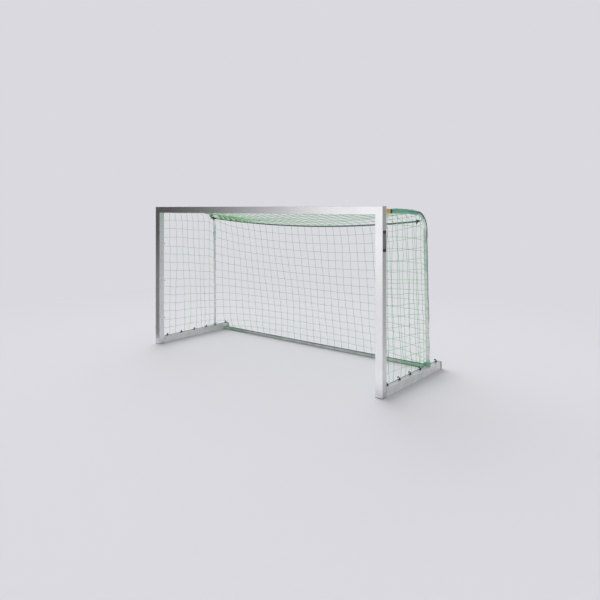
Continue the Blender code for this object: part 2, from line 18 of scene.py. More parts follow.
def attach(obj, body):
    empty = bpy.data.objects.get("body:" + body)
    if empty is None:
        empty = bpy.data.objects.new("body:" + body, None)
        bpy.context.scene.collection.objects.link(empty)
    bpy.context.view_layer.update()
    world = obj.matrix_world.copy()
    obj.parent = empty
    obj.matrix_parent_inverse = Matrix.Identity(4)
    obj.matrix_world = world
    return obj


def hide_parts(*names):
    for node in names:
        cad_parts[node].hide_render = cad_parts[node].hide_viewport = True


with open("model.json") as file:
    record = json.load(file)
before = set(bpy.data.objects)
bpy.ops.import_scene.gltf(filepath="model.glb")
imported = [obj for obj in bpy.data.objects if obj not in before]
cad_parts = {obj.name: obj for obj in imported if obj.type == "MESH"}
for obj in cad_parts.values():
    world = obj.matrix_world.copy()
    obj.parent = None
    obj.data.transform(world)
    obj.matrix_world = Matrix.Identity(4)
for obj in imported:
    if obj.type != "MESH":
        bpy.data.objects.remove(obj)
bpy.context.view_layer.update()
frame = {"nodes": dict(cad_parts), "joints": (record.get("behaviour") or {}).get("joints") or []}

LOG = logging.getLogger("goal")
BODY = "goal_frame"

Colour = tuple[float, float, float]
Point = Sequence[float]
Points = Sequence[Point]
Stops = Sequence[tuple[float, float]]
Array = np.ndarray
Piece = bpy.types.Object
Socket = bpy.types.NodeSocket
Material = bpy.types.Material
WHITE: Colour = (1.0, 1.0, 1.0)
RING_SIDES = 40
HEM_STEPS = 96
# Size, waves across, waves up and turn of each wave in a panel's drift
DRIFT_WAVES = ((1.0, 1.1, 0.55, 1.0), (0.6, 2.3, -0.9, 2.1), (0.35, 4.9, 1.7, 0.7))


# Sizes that several pieces share


class Side(IntEnum):
    """A side of the goal, as the sign of its X."""

    LEFT = -1
    RIGHT = 1

    @property
    def word(self) -> str:
        """The side's word in the names of pieces."""
        return self.name.lower()


@dataclass(frozen=True)
class GoalSizes:
    """Sizes of the frame that the dressed pieces fit, as in the part's source."""

    outer_x: float = 1.575
    front_y: float = -0.61
    rear_y: float = 0.61
    section: float = 0.075
    bar_width: float = 0.05
    bar_height: float = 0.075
    crossbar_z: float = 1.6375
    rear_tube_y: float = 0.525
    rear_tube_radius: float = 0.0175
    bracket_radius: float = 0.015
    seat_gap: float = 0.0003
    hem_x: float = 1.53
    hem_lift: float = 0.0061

    @property
    def section_back_y(self) -> float:
        """Depth of the posts' and the crossbar's rear faces."""
        return self.front_y + self.section

    @property
    def hem_z(self) -> float:
        """Height of the cord that the hooks hold on the ground bars."""
        return self.bar_height + self.hem_lift

    @property
    def hem_y(self) -> float:
        """Depth of the cord that the hooks hold behind the posts and the crossbar."""
        return self.section_back_y + self.hem_lift


SIZES = GoalSizes()


# Lines and round strings


def unit(vector: Point) -> Array:
    """Return a vector of length one."""
    array = np.asarray(vector, float)
    return array / np.linalg.norm(array)


def smooth_line(points: Points, steps: int) -> Array:
    """Run a smooth curve through points.

    Args:
        points: The points that the curve passes.
        steps: How many equal steps the curve is read in.

    Returns:
        The curve's points, one more than the steps.
    """
    places = [Vector(point) for point in points]
    line = []
    for step in range(steps + 1):
        along = step / steps * (len(places) - 1)
        index = min(int(along), len(places) - 2)
        share = along - index
        start, end = places[index], places[index + 1]
        leave = (end - places[max(index - 1, 0)]) / 2
        arrive = (places[min(index + 2, len(places) - 1)] - start) / 2
        square, cube = share * share, share ** 3
        line.append((2 * cube - 3 * square + 1) * start + (cube - 2 * square + share) * leave
                    + (3 * square - 2 * cube) * end + (cube - square) * arrive)
    return np.array(line)


def run_lengths(line: Array) -> Array:
    """Return how far along a line each of its points is."""
    return np.concatenate([[0.0], np.cumsum(np.linalg.norm(np.diff(line, axis=0), axis=1))])


def even(cells: int) -> Array:
    """Return even shares from 0 to 1."""
    return np.linspace(0, 1, cells + 1)


def respace(line: Array, step: float) -> Array:
    """Read a line again at even steps of about the given length.

    Args:
        line: The line's points.
        step: The steps' length, roughly.

    Returns:
        The new points.
    """
    run = run_lengths(line)
    places = np.linspace(0, run[-1], max(int(round(run[-1] / step)), 1) + 1)
    return np.stack([np.interp(places, run, line[:, k]) for k in range(3)], axis=1)


def frames_along(line: Array) -> tuple[Array, Array]:
    """Carry two square directions along a line without twist.

    Args:
        line: The line's points.

    Returns:
        For each point, two unit directions square to the line and to each other.
    """
    tangents = np.gradient(line, axis=0)
    tangents /= np.linalg.norm(tangents, axis=1)[:, None]
    side = unit(np.cross(tangents[0], np.eye(3)[int(np.argmin(np.abs(tangents[0])))]))
    sides = [side]
    for tangent in tangents[1:]:
        side = unit(side - tangent * side.dot(tangent))
        sides.append(side)
    sideways = np.array(sides)
    return sideways, np.cross(tangents, sideways)


def coil_round(line: Array, radius: float, pitch: float, phase: float, steps: int) -> Array:
    """Wind a line round another.

    Args:
        line: The line in the middle.
        radius: Distance from the middle.
        pitch: Length of one turn along the line; below zero winds the other way.
        phase: Where the winding starts, in turns.
        steps: Points for each turn.

    Returns:
        The winding's points.
    """
    fine = respace(line, abs(pitch) / steps)
    first, second = frames_along(fine)
    turn = 2 * math.pi * (run_lengths(fine) / pitch + phase)
    return fine + radius * (np.cos(turn)[:, None] * first + np.sin(turn)[:, None] * second)


@dataclass(frozen=True)
class Edge:
    """A line that is read by a share from 0 to 1."""

    points: Array
    shares: Array

    @classmethod
    def through(cls, points: Points, shares: Sequence[float] | None = None) -> "Edge":
        """Make an edge, whose shares follow its length unless they are given.

        Args:
            points: The points that it passes.
            shares: A share for each point, or none.

        Returns:
            The edge.
        """
        line = np.asarray(points, float)
        run = run_lengths(line)
        return cls(line, np.asarray(shares, float) if shares is not None else run / run[-1])

    def at(self, share: Array | float) -> Array:
        """Return the edge's points at shares of its length."""
        return np.stack([np.interp(share, self.shares, self.points[:, k]) for k in range(3)], axis=-1)


class CordMesh:
    """Collects round strings, knots and loops, and makes one mesh of them.

    Its UV map runs along each string in metres and round it from 0 to 1.
    """

    LOOP_POINTS = 15
    KNOT_SIDES = 6
    KNOT_RINGS = (0.62, 0.0, -0.62)

    def __init__(self, sides: int) -> None:
        """Start an empty mesh whose strings have this many sides.

        Args:
            sides: How many sides each string has.
        """
        self.sides = sides
        self.points: list[Array] = []
        self.faces: list[list[int]] = []
        self.marks: list[tuple[float, float]] = []
        self.count = 0

    def string(self, line: Array, radius: float | Array, closed: bool = False) -> None:
        """Add one round string.

        Args:
            line: The string's centre line; a closed one ends where it starts.
            radius: The string's radius, or one for each point.
            closed: Whether the ends join instead of being capped.
        """
        sideways, over = frames_along(line)
        count, sides = len(line), self.sides
        if closed:
            middle = unit(sideways[0] + sideways[-1])
            sideways[0] = sideways[-1] = middle
            over[0] = over[-1] = unit(over[0] + over[-1])
        angles = 2 * math.pi * np.arange(sides) / sides
        width = np.broadcast_to(np.asarray(radius, float), (count,))[:, None, None]
        rings = line[:, None, :] + width * (np.cos(angles)[None, :, None] * sideways[:, None, :]
                                            + np.sin(angles)[None, :, None] * over[:, None, :])
        rows = count - 1 if closed else count
        self.points.append(rings[:rows].reshape(-1, 3))
        run = run_lengths(line)
        base = self.count
        for row in range(count - 1):
            near = base + row * sides
            far = base + ((row + 1) % rows) * sides
            for k in range(sides):
                after = (k + 1) % sides
                self.faces.append([near + k, near + after, far + after, far + k])
                low, high = k / sides, (k + 1) / sides
                self.marks += [(run[row], low), (run[row], high), (run[row + 1], high), (run[row + 1], low)]
        if not closed:
            last = base + (count - 1) * sides
            self.faces.append([base + k for k in reversed(range(sides))])
            self.faces.append([last + k for k in range(sides)])
            self.marks += [(0.0, 0.0)] * sides + [(run[-1], 0.0)] * sides
        self.count += rows * sides

    def knot(self, centre: Point, radius: float, stretch: Point) -> None:
        """Add one small rounded knot.

        Args:
            centre: Where the knot is.
            radius: Its radius.
            stretch: How much longer it is along X, Y and Z.
        """
        meridians, heights = self.KNOT_SIDES, self.KNOT_RINGS
        rings = [[(math.cos(a) * math.sqrt(1 - h * h), math.sin(a) * math.sqrt(1 - h * h), h)
                  for a in (2 * math.pi * k / meridians for k in range(meridians))] for h in heights]
        shape = np.array([(0, 0, 1)] + [point for ring in rings for point in ring] + [(0, 0, -1)])
        self.points.append(np.asarray(centre, float) + radius * shape * np.asarray(stretch, float))
        base = self.count
        end = base + 1 + meridians * len(heights)
        for k in range(meridians):
            after = (k + 1) % meridians
            self.faces.append([base, base + 1 + k, base + 1 + after])
            for row in range(len(heights) - 1):
                near = base + 1 + row * meridians
                far = near + meridians
                self.faces.append([near + k, far + k, far + after, near + after])
            low = base + 1 + (len(heights) - 1) * meridians
            self.faces.append([end, low + after, low + k])
            self.marks += [(0.0, 0.0)] * (3 + 4 * (len(heights) - 1) + 3)
        self.count += len(shape)

    def loop(self, centre: Point, axis: Point, inner: float, radius: float, floor: bool = False) -> None:
        """Add one closed ring of cord.

        Args:
            centre: The ring's middle.
            axis: The direction that the ring goes round.
            inner: Radius of the ring's centre line.
            radius: The cord's radius.
            floor: Whether the ground presses its lower side flat.
        """
        direction = unit(axis)
        first = unit(np.cross(direction, np.eye(3)[int(np.argmin(np.abs(direction)))]))
        second = np.cross(direction, first)
        turn = np.linspace(0, 2 * math.pi, self.LOOP_POINTS)
        line = (np.asarray(centre, float) + inner * (np.cos(turn)[:, None] * first
                                                     + np.sin(turn)[:, None] * second))
        if floor:
            line[:, 2] = np.maximum(line[:, 2], radius)
        self.string(line, radius, closed=True)

    def build(self, name: str, finish: "Finish", slot: str = "net_cord") -> Piece:
        """Make the piece, dress it and let it ride on the frame.

        Args:
            name: The piece's name.
            finish: Its finish.
            slot: Not used.

        Returns:
            The finished piece.
        """
        mesh = bpy.data.meshes.new(name)
        mesh.from_pydata(np.concatenate(self.points).tolist(), [], self.faces)
        layer = mesh.uv_layers.new(name="run")
        layer.data.foreach_set("uv", np.array(self.marks, np.float32).ravel())
        mesh.shade_smooth()
        piece = bpy.data.objects.new(name, mesh)
        bpy.context.scene.collection.objects.link(piece)
        return dress(piece, finish)


# Finishes


class Graph:
    """A material's or a world's nodes, with short ways to add and join them."""

    def __init__(self, name: str, owner: bpy.types.World | None = None) -> None:
        """Start a material with its Principled shader, or use a world's nodes.

        Args:
            name: The material's name.
            owner: A world whose nodes are used instead.
        """
        self.material = owner or bpy.data.materials.new(name)
        self.material.use_nodes = True
        self.tree = self.material.node_tree
        self.shader = self.tree.nodes.get("Principled BSDF")

    def add(self, kind: str, feeds: dict[str | int, object] | None = None, **settings: object) -> bpy.types.Node:
        """Add a node.

        Args:
            kind: The node's type after the word ShaderNode.
            feeds: What goes into its sockets, a number or another node's output.
            settings: Its own settings.

        Returns:
            The node.
        """
        node = self.tree.nodes.new("ShaderNode" + kind)
        for key, value in settings.items():
            setattr(node, key, value)
        for key, value in (feeds or {}).items():
            self.feed(node.inputs[key], value)
        return node

    def feed(self, socket: Socket, value: object) -> None:
        """Join a node's output to a socket, or set the socket's own value.

        Args:
            socket: The socket.
            value: An output, a number, a vector or a colour.
        """
        if isinstance(value, Socket):
            self.tree.links.new(value, socket)
        else:
            socket.default_value = (*value, 1.0) if socket.type == "RGBA" else value

    def place(self, scale: Point = (1, 1, 1)) -> Socket:
        """Return the object's own coordinates, stretched by a scale."""
        coordinates = self.add("TexCoord").outputs["Object"]
        return self.add("Mapping", {"Vector": coordinates, "Scale": tuple(scale)}).outputs["Vector"]

    def height(self) -> Socket:
        """Return the height in the object's own coordinates."""
        return self.add("SeparateXYZ", {0: self.place()}).outputs["Z"]

    def noise(self, vector: Socket, scale: float, detail: float = 2.0, roughness: float = 0.5) -> Socket:
        """Return a noise between 0 and 1."""
        return self.add("TexNoise", {"Vector": vector, "Scale": scale, "Detail": detail,
                                     "Roughness": roughness}).outputs["Fac"]

    def math(self, operation: str, first: object, second: object = 0.0) -> Socket:
        """Return the outcome of one sum."""
        return self.add("Math", {0: first, 1: second}, operation=operation).outputs[0]

    def spread(self, value: Socket, low: float, high: float, least: float, most: float) -> Socket:
        """Carry a value from one range to another, held at its ends."""
        return self.add("MapRange", {"Value": value, "From Min": low, "From Max": high,
                                     "To Min": least, "To Max": most}).outputs["Result"]

    def mix(self, share: object, first: object, second: object) -> Socket:
        """Return a colour between two, by the share of the second."""
        return self.add("Mix", {0: share, 6: first, 7: second}, data_type="RGBA").outputs[2]

    @staticmethod
    def grey(level: float) -> tuple[float, float, float, float]:
        """Return a grey with a trace of blue."""
        return level, level, level * 1.01, 1.0

    def ramp(self, value: Socket, stops: Stops) -> Socket:
        """Return a grey that follows a value through stops of place and brightness.

        Args:
            value: What the grey follows.
            stops: Places and their brightness, from low to high.

        Returns:
            The grey.
        """
        first, last = stops[0][0], stops[-1][0]
        node = self.add("ValToRGB", {0: self.spread(value, first, last, 0.0, 1.0)})
        elements = node.color_ramp.elements
        elements[0].color = self.grey(stops[0][1])
        elements[1].color = self.grey(stops[-1][1])
        for where, level in stops[1:-1]:
            elements.new((where - first) / (last - first)).color = self.grey(level)
        return node.outputs["Color"]

    def bump(self, height: Socket, distance: float, strength: float) -> None:
        """Give the shader a bump from a height."""
        normal = self.add("Bump", {"Height": height, "Distance": distance, "Strength": strength})
        self.feed(self.shader.inputs["Normal"], normal.outputs["Normal"])

    def finish(self, colour: object, roughness: object, **constants: float) -> Material:
        """Feed the shader and return the material.

        Args:
            colour: The base colour.
            roughness: The roughness.
            constants: Numbers for the shader's own sockets.

        Returns:
            The material.
        """
        self.feed(self.shader.inputs["Base Color"], colour)
        self.feed(self.shader.inputs["Roughness"], roughness)
        for key, value in constants.items():
            self.shader.inputs[key.replace("_", " ").title().replace("Ior", "IOR")].default_value = value
        return self.material


def tint(colour: Colour, factor: float) -> Colour:
    """Return a colour made lighter or darker."""
    return tuple(min(part * factor, 1.0) for part in colour)


class Grain(Enum):
    """Which way a section is brushed."""

    ALONG_X = (1.0, 260.0, 260.0)
    ALONG_Y = (260.0, 1.0, 260.0)
    ALONG_Z = (260.0, 260.0, 1.0)


@dataclass(frozen=True)
class Finish:
    """A finish that is made into a material once."""

    name: str

    def material(self) -> Material:
        """Return the finish's material."""
        return bpy.data.materials.get(self.name) or self.make()

    def make(self) -> Material:
        """Build the material, which each kind of finish does its own way."""
        raise NotImplementedError


@dataclass(frozen=True)
class AnodisedAluminium(Finish):
    """Matt anodised aluminium, brushed along the section, dusty near the ground, and perhaps painted paler there as
    painted light.
    """

    grain: Grain = Grain.ALONG_X
    colour: Colour = (0.80, 0.80, 0.815)
    metal: float = 0.95
    bloom: float = 0.0

    def make(self) -> Material:
        """Build the material.

        Returns:
            The material.
        """
        graph = Graph(self.name)
        lines = graph.noise(graph.place(self.grain.value), 4.0, 5.0, 0.62)
        cloud = graph.noise(graph.place(), 6.0, 3.0)
        specks = graph.noise(graph.place(), 160.0)
        colour = graph.mix(graph.spread(lines, 0.3, 0.7, 0, 1), tint(self.colour, 0.94), tint(self.colour, 1.04))
        colour = graph.mix(graph.spread(cloud, 0.45, 0.75, 0, 0.35), colour, tint(self.colour, 0.86))
        height = graph.height()
        low = graph.spread(height, 0.0, 0.22, 1.0, 0.0)
        dust = graph.math("MULTIPLY", low, graph.spread(specks, 0.52, 0.72, 0.0, 0.55))
        colour = graph.mix(dust, colour, (0.46, 0.45, 0.43))
        # Paler towards the ground: painted light that lifts the lower side against the shade it reflects.
        if self.bloom:
            colour = graph.mix(graph.spread(height, 0.0, 0.07, self.bloom, 0.0), colour, WHITE)
        rough = graph.math("ADD", graph.spread(lines, 0.25, 0.75, 0.23, 0.31),
                           graph.spread(cloud, 0.4, 0.8, 0.0, 0.05))
        graph.bump(lines, 0.0001, 0.12)
        return graph.finish(colour, graph.math("ADD", rough, graph.math("MULTIPLY", dust, 0.3)),
                            metallic=self.metal)


@dataclass(frozen=True)
class DrawnTube(Finish):
    """Dull drawn tube with a fine grain and cloudy shine, perhaps painted paler low down as painted light."""

    colour: Colour = (0.79, 0.84, 0.81)
    metal: float = 0.15
    pale_low: bool = False

    def make(self) -> Material:
        """Build the material.

        Returns:
            The material.
        """
        graph = Graph(self.name)
        cloud = graph.noise(graph.place(), 14.0, 4.0, 0.6)
        fine = graph.noise(graph.place(), 420.0)
        colour = graph.mix(graph.spread(cloud, 0.3, 0.7, 0, 1), tint(self.colour, 0.84), tint(self.colour, 1.12))
        # Paler low down: painted light standing in for a brighter reflection on the tube's lower part.
        if self.pale_low:
            height = graph.height()
            colour = graph.mix(graph.spread(height, 0.6, 1.1, 0.7, 0.0), colour, (0.93, 0.94, 0.93))
        rough = graph.spread(cloud, 0.3, 0.7, 0.36, 0.5)
        graph.bump(fine, 0.00008, 0.5)
        return graph.finish(colour, rough, metallic=self.metal)


@dataclass(frozen=True)
class MouldedPlastic(Finish):
    """Moulded plastic with a fine grain, uneven gloss and paler scuffs."""

    colour: Colour = (0.03, 0.03, 0.03)
    gloss: float = 0.45
    scuff: float = 0.25

    def make(self) -> Material:
        """Build the material.

        Returns:
            The material.
        """
        graph = Graph(self.name)
        grain = graph.noise(graph.place(), 900.0)
        cloud = graph.noise(graph.place(), 40.0, 3.0, 0.6)
        marks = graph.noise(graph.place((60.0, 380.0, 90.0)), 1.0, 3.0, 0.7)
        colour = graph.mix(graph.spread(cloud, 0.3, 0.7, 0, 1), tint(self.colour, 0.82), tint(self.colour, 1.18))
        worn = tuple(part + (0.5 - part) * 0.3 for part in self.colour)
        colour = graph.mix(graph.spread(marks, 0.58, 0.74, 0.0, self.scuff), colour, worn)
        rough = graph.math("ADD", graph.spread(cloud, 0.3, 0.7, self.gloss - 0.06, self.gloss + 0.06),
                           graph.spread(marks, 0.55, 0.75, 0.0, 0.12))
        graph.bump(grain, 0.00008, 0.6)
        return graph.finish(colour, rough)


@dataclass(frozen=True)
class TwistedCord(Finish):
    """Plaited cord: stripes that wind round it, darker in the grooves as painted shade, with sheen and uneven dye."""

    colour: Colour = (0.03, 0.25, 0.15)
    lay: float = 0.012
    strands: float = 2.0
    depth: float = 0.0004

    def make(self) -> Material:
        """Build the material.

        Returns:
            The material.
        """
        graph = Graph(self.name)
        run = graph.add("SeparateXYZ", {0: graph.add("UVMap", uv_map="run").outputs[0]})
        wound = graph.math("ADD", graph.math("DIVIDE", run.outputs[0], self.lay),
                           graph.math("MULTIPLY", run.outputs[1], self.strands))
        wave = graph.math("SINE", graph.math("MULTIPLY", wound, 2 * math.pi))
        strand_relief_and_shade = graph.spread(wave, -1.0, 1.0, 0.0, 1.0)
        dye = graph.noise(graph.place(), 22.0, 3.0)
        # The grooves between strands are painted darker and the crests lighter: painted shade along the strands'
        # relief.
        colour = graph.mix(strand_relief_and_shade, tint(self.colour, 0.62), tint(self.colour, 1.25))
        colour = graph.mix(graph.spread(dye, 0.35, 0.7, 0.0, 0.4), colour, tint(self.colour, 1.5))
        graph.bump(strand_relief_and_shade, self.depth, 0.8)
        return graph.finish(colour, graph.spread(strand_relief_and_shade, 0.0, 1.0, 0.75, 0.6), sheen_weight=0.35)


@dataclass(frozen=True)
class LabelFilm(Finish):
    """Plain film on a plate: a dark red field over a grey one over a black one."""

    red_above: float = 1.434
    black_below: float = 1.303

    def make(self) -> Material:
        """Build the material.

        Returns:
            The material.
        """
        graph = Graph(self.name)
        height = graph.height()
        wear = graph.noise(graph.place(), 120.0, 3.0, 0.6)
        worn = graph.spread(wear, 0.35, 0.7, 0, 1)
        grey = graph.mix(worn, (0.17, 0.155, 0.165), (0.23, 0.21, 0.22))
        red = graph.mix(worn, (0.075, 0.012, 0.016), (0.11, 0.02, 0.024))
        black = graph.mix(worn, (0.008, 0.008, 0.009), (0.016, 0.015, 0.017))
        colour = graph.mix(graph.math("GREATER_THAN", height, self.red_above), grey, red)
        colour = graph.mix(graph.math("LESS_THAN", height, self.black_below), colour, black)
        graph.bump(wear, 0.00005, 0.3)
        return graph.finish(colour, graph.spread(wear, 0.3, 0.7, 0.3, 0.42))


@dataclass(frozen=True)
class WeldBead(Finish):
    """Bright bead of weld with a cloudy grey tone."""

    def make(self) -> Material:
        """Build the material.

        Returns:
            The material.
        """
        graph = Graph(self.name)
        cloud = graph.noise(graph.place(), 90.0, 3.0)
        colour = graph.mix(graph.spread(cloud, 0.3, 0.7, 0, 1), (0.52, 0.52, 0.53), (0.74, 0.74, 0.75))
        graph.bump(graph.noise(graph.place(), 500.0), 0.0002, 0.5)
        return graph.finish(colour, graph.spread(cloud, 0.3, 0.7, 0.3, 0.5), metallic=0.95)


SECTION_X = AnodisedAluminium("aluminium_brushed_x", grain=Grain.ALONG_X)
SECTION_Y = AnodisedAluminium("aluminium_brushed_y", grain=Grain.ALONG_Y, metal=0.35, bloom=0.8)
SECTION_Z = AnodisedAluminium("aluminium_brushed_z", grain=Grain.ALONG_Z)
TUBE = DrawnTube("drawn_tube", pale_low=True)
GROUND_TUBE = DrawnTube("ground_tube_metal", colour=(0.66, 0.665, 0.665), metal=0.45)
BLACK = MouldedPlastic("black_plastic_moulded", colour=(0.016, 0.016, 0.017), gloss=0.5)
GREY = MouldedPlastic("grey_plastic_moulded", colour=(0.40, 0.40, 0.41), gloss=0.5)
ORANGE = MouldedPlastic("orange_plastic_moulded", colour=(0.76, 0.45, 0.08), gloss=0.38, scuff=0.15)
HOOK_GREEN = MouldedPlastic("hook_plastic_moulded", colour=(0.008, 0.030, 0.021), gloss=0.6, scuff=0.06)
NET_GREEN = TwistedCord("net_cord_green", colour=(0.055, 0.56, 0.105))
# The roof's cord is the net cord, coloured lighter as painted light for its glow when lit from above.
ROOF_GREEN_PAINTED_LIGHT = TwistedCord("roof_cord_green", colour=(0.12, 0.57, 0.14))
LOOSE_GREEN = TwistedCord("loose_cord_green", colour=(0.38, 0.70, 0.36))
BUNCH_GREEN = TwistedCord("bunched_cord_green", colour=(0.25, 0.60, 0.44))
MINT_GREEN = TwistedCord("mint_cord_green", colour=(0.33, 0.68, 0.50))
HEM_GREEN = TwistedCord("hem_cord_green", colour=(0.018, 0.12, 0.072), lay=0.016, strands=3.0, depth=0.0006)
ROPE_GREEN = TwistedCord("rope_green", colour=(0.010, 0.065, 0.042), lay=0.009, strands=2.0, depth=0.0003)
WELD = WeldBead("weld_bead")


# Making pieces


def dress(piece: Piece, finish: Finish, body: str = BODY) -> Piece:
    """Give a piece its finish and its body.

    Args:
        piece: The finished piece.
        finish: What it is made of.
        body: The body that carries it.

    Returns:
        The piece.
    """
    piece.data.materials.clear()
    piece.data.materials.append(finish.material())
    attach(piece, body)
    LOG.info("%s: %d vertices, %s", piece.name, len(piece.data.vertices), finish.name)
    return piece


class Bench:
    """Shapes pieces with the edit-mode tools."""

    @staticmethod
    def clear() -> None:
        """Leave edit mode and select nothing."""
        if bpy.context.object is not None and bpy.context.object.mode != "OBJECT":
            bpy.ops.object.mode_set(mode="OBJECT")
        bpy.ops.object.select_all(action="DESELECT")

    @staticmethod
    def pick(piece: Piece) -> None:
        """Leave edit mode and select one piece alone.

        Args:
            piece: The piece.
        """
        Bench.clear()
        piece.select_set(True)
        bpy.context.view_layer.objects.active = piece

    @staticmethod
    def cube(name: str, size: Point, place: Point) -> Piece:
        """Start a piece from a block of the given size, with its place in its mesh.

        Args:
            name: The piece's name.
            size: Its size along X, Y and Z.
            place: Its middle.

        Returns:
            The block.
        """
        Bench.clear()
        bpy.ops.mesh.primitive_cube_add(size=1, location=tuple(place))
        piece = bpy.context.object
        piece.name = piece.data.name = name
        piece.scale = tuple(size)
        Bench.settle(piece)
        return piece

    @staticmethod
    def cylinder(name: str, radius: float, depth: float, place: Point, sides: int, open_ends: bool = False) -> Piece:
        """Start a piece from a cylinder along Z, with its place in its mesh.

        Args:
            name: The piece's name.
            radius: Its radius.
            depth: Its length.
            place: Its middle.
            sides: Sides round it.
            open_ends: Whether its ends are left open.

        Returns:
            The cylinder.
        """
        Bench.clear()
        bpy.ops.mesh.primitive_cylinder_add(vertices=sides, radius=radius, depth=depth, location=tuple(place),
                                            end_fill_type="NOTHING" if open_ends else "NGON")
        piece = bpy.context.object
        piece.name = piece.data.name = name
        Bench.settle(piece)
        return piece

    @staticmethod
    def settle(piece: Piece) -> None:
        """Move a piece's place, turn and size into its mesh."""
        Bench.pick(piece)
        bpy.ops.object.transform_apply(location=True, rotation=True, scale=True)

    @staticmethod
    def edit(piece: Piece, faces: Callable[[bpy.types.MeshPolygon], bool] | None = None,
             edges: Callable[[Vector, Vector], bool] | None = None,
             points: Callable[[Vector], bool] | None = None) -> None:
        """Enter edit mode with the chosen faces, edges or points selected.

        Args:
            piece: The piece to edit.
            faces: Chooses faces by centre and normal.
            edges: Chooses edges by their two ends.
            points: Chooses points by place.
        """
        Bench.pick(piece)
        mode = "FACE" if faces else "EDGE" if edges else "VERT"
        bpy.ops.object.mode_set(mode="EDIT")
        bpy.ops.mesh.select_mode(type=mode)
        bpy.ops.mesh.select_all(action="DESELECT")
        bpy.ops.object.mode_set(mode="OBJECT")
        mesh = piece.data
        for face in mesh.polygons if faces else ():
            face.select = faces(face)
        for edge in mesh.edges if edges else ():
            edge.select = edges(*(mesh.vertices[index].co for index in edge.vertices))
        for point in mesh.vertices if points else ():
            point.select = points(point.co)
        bpy.ops.object.mode_set(mode="EDIT")

    @staticmethod
    def modify(piece: Piece, kind: str, **settings: object) -> None:
        """Add a modifier with its settings and apply it.

        Args:
            piece: The piece.
            kind: The modifier's type.
            settings: The modifier's settings.
        """
        Bench.pick(piece)
        modifier = piece.modifiers.new(kind.lower(), kind)
        for key, value in settings.items():
            setattr(modifier, key, value)
        bpy.ops.object.modifier_apply(modifier=modifier.name)

    @staticmethod
    def round_edges(piece: Piece, width: float, segments: int = 2, angle: float = 50.0) -> None:
        """Round the edges where a piece turns by more than an angle in degrees."""
        Bench.modify(piece, "BEVEL", width=width, segments=segments, limit_method="ANGLE",
                     angle_limit=math.radians(angle))

    @staticmethod
    def extrude(move: Point) -> None:
        """Extrude the selected faces by a move."""
        bpy.ops.mesh.extrude_region_move(TRANSFORM_OT_translate={"value": tuple(move)})

    @staticmethod
    def cut(piece: Piece, *heights: float) -> None:
        """Cut a ring of edges into a piece at each height.

        Args:
            piece: The piece.
            heights: The heights.
        """
        for height in heights:
            Bench.edit(piece, points=lambda place: True)
            bpy.ops.mesh.bisect(plane_co=(0, 0, height), plane_no=(0, 0, 1))

    @staticmethod
    def swell(piece: Piece, low: float, high: float, outer: float, factor: float) -> None:
        """Widen or narrow the outer skin of a sleeve between two heights, and shade the sleeve.

        Args:
            piece: The sleeve.
            low: The lower height.
            high: The upper height.
            outer: The skin's radius.
            factor: What the radius is multiplied by.
        """
        near, skin = 0.0005, 0.003
        Bench.edit(piece, points=lambda place: low - near < place.z < high + near
                   and place.xy.length > outer - skin)
        bpy.ops.transform.resize(value=(factor, factor, 1), center_override=(0, 0, 0))
        Bench.smooth(piece, 40)

    @staticmethod
    def smooth(piece: Piece, angle: float = 35.0) -> None:
        """Shade a piece smooth up to an angle in degrees."""
        Bench.pick(piece)
        bpy.ops.object.shade_smooth_by_angle(angle=math.radians(angle))

    @staticmethod
    def put(piece: Piece, place: Point, turn: Matrix | None = None) -> None:
        """Turn a piece about the origin and move it, in its mesh.

        Args:
            piece: The piece.
            place: How far it moves.
            turn: How it is turned first.
        """
        matrix = Matrix.Translation(Vector(place))
        if turn is not None:
            matrix = matrix @ turn.to_4x4()
        piece.data.transform(matrix)
        piece.data.update()

    @staticmethod
    def copy(piece: Piece, name: str) -> Piece:
        """Copy a piece with a mesh of its own.

        Args:
            piece: The piece.
            name: The copy's name.

        Returns:
            The copy.
        """
        twin = piece.copy()
        twin.data = piece.data.copy()
        twin.name = twin.data.name = name
        bpy.context.scene.collection.objects.link(twin)
        return twin

    @staticmethod
    def discard(piece: Piece) -> None:
        """Remove a piece that was only a pattern for its copies."""
        bpy.data.objects.remove(piece, do_unlink=True)


def lying_along_y() -> Matrix:
    """Return the turn that lays a piece made along Z along Y."""
    return Matrix.Rotation(-math.pi / 2, 3, "X")


def ring_piece(name: str, outer: float, bore: float, length: float, lip: float) -> Piece:
    """Make a round sleeve along Z about the origin, with rounded rims.

    Args:
        name: The piece's name.
        outer: Outer diameter.
        bore: Bore diameter.
        length: Length.
        lip: Radius of the rims.

    Returns:
        The sleeve.
    """
    piece = Bench.cylinder(name, outer / 2, length, (0, 0, 0), RING_SIDES, open_ends=True)
    Bench.modify(piece, "SOLIDIFY", thickness=(outer - bore) / 2, offset=-1.0)
    Bench.round_edges(piece, lip, segments=3)
    return piece


# The frame


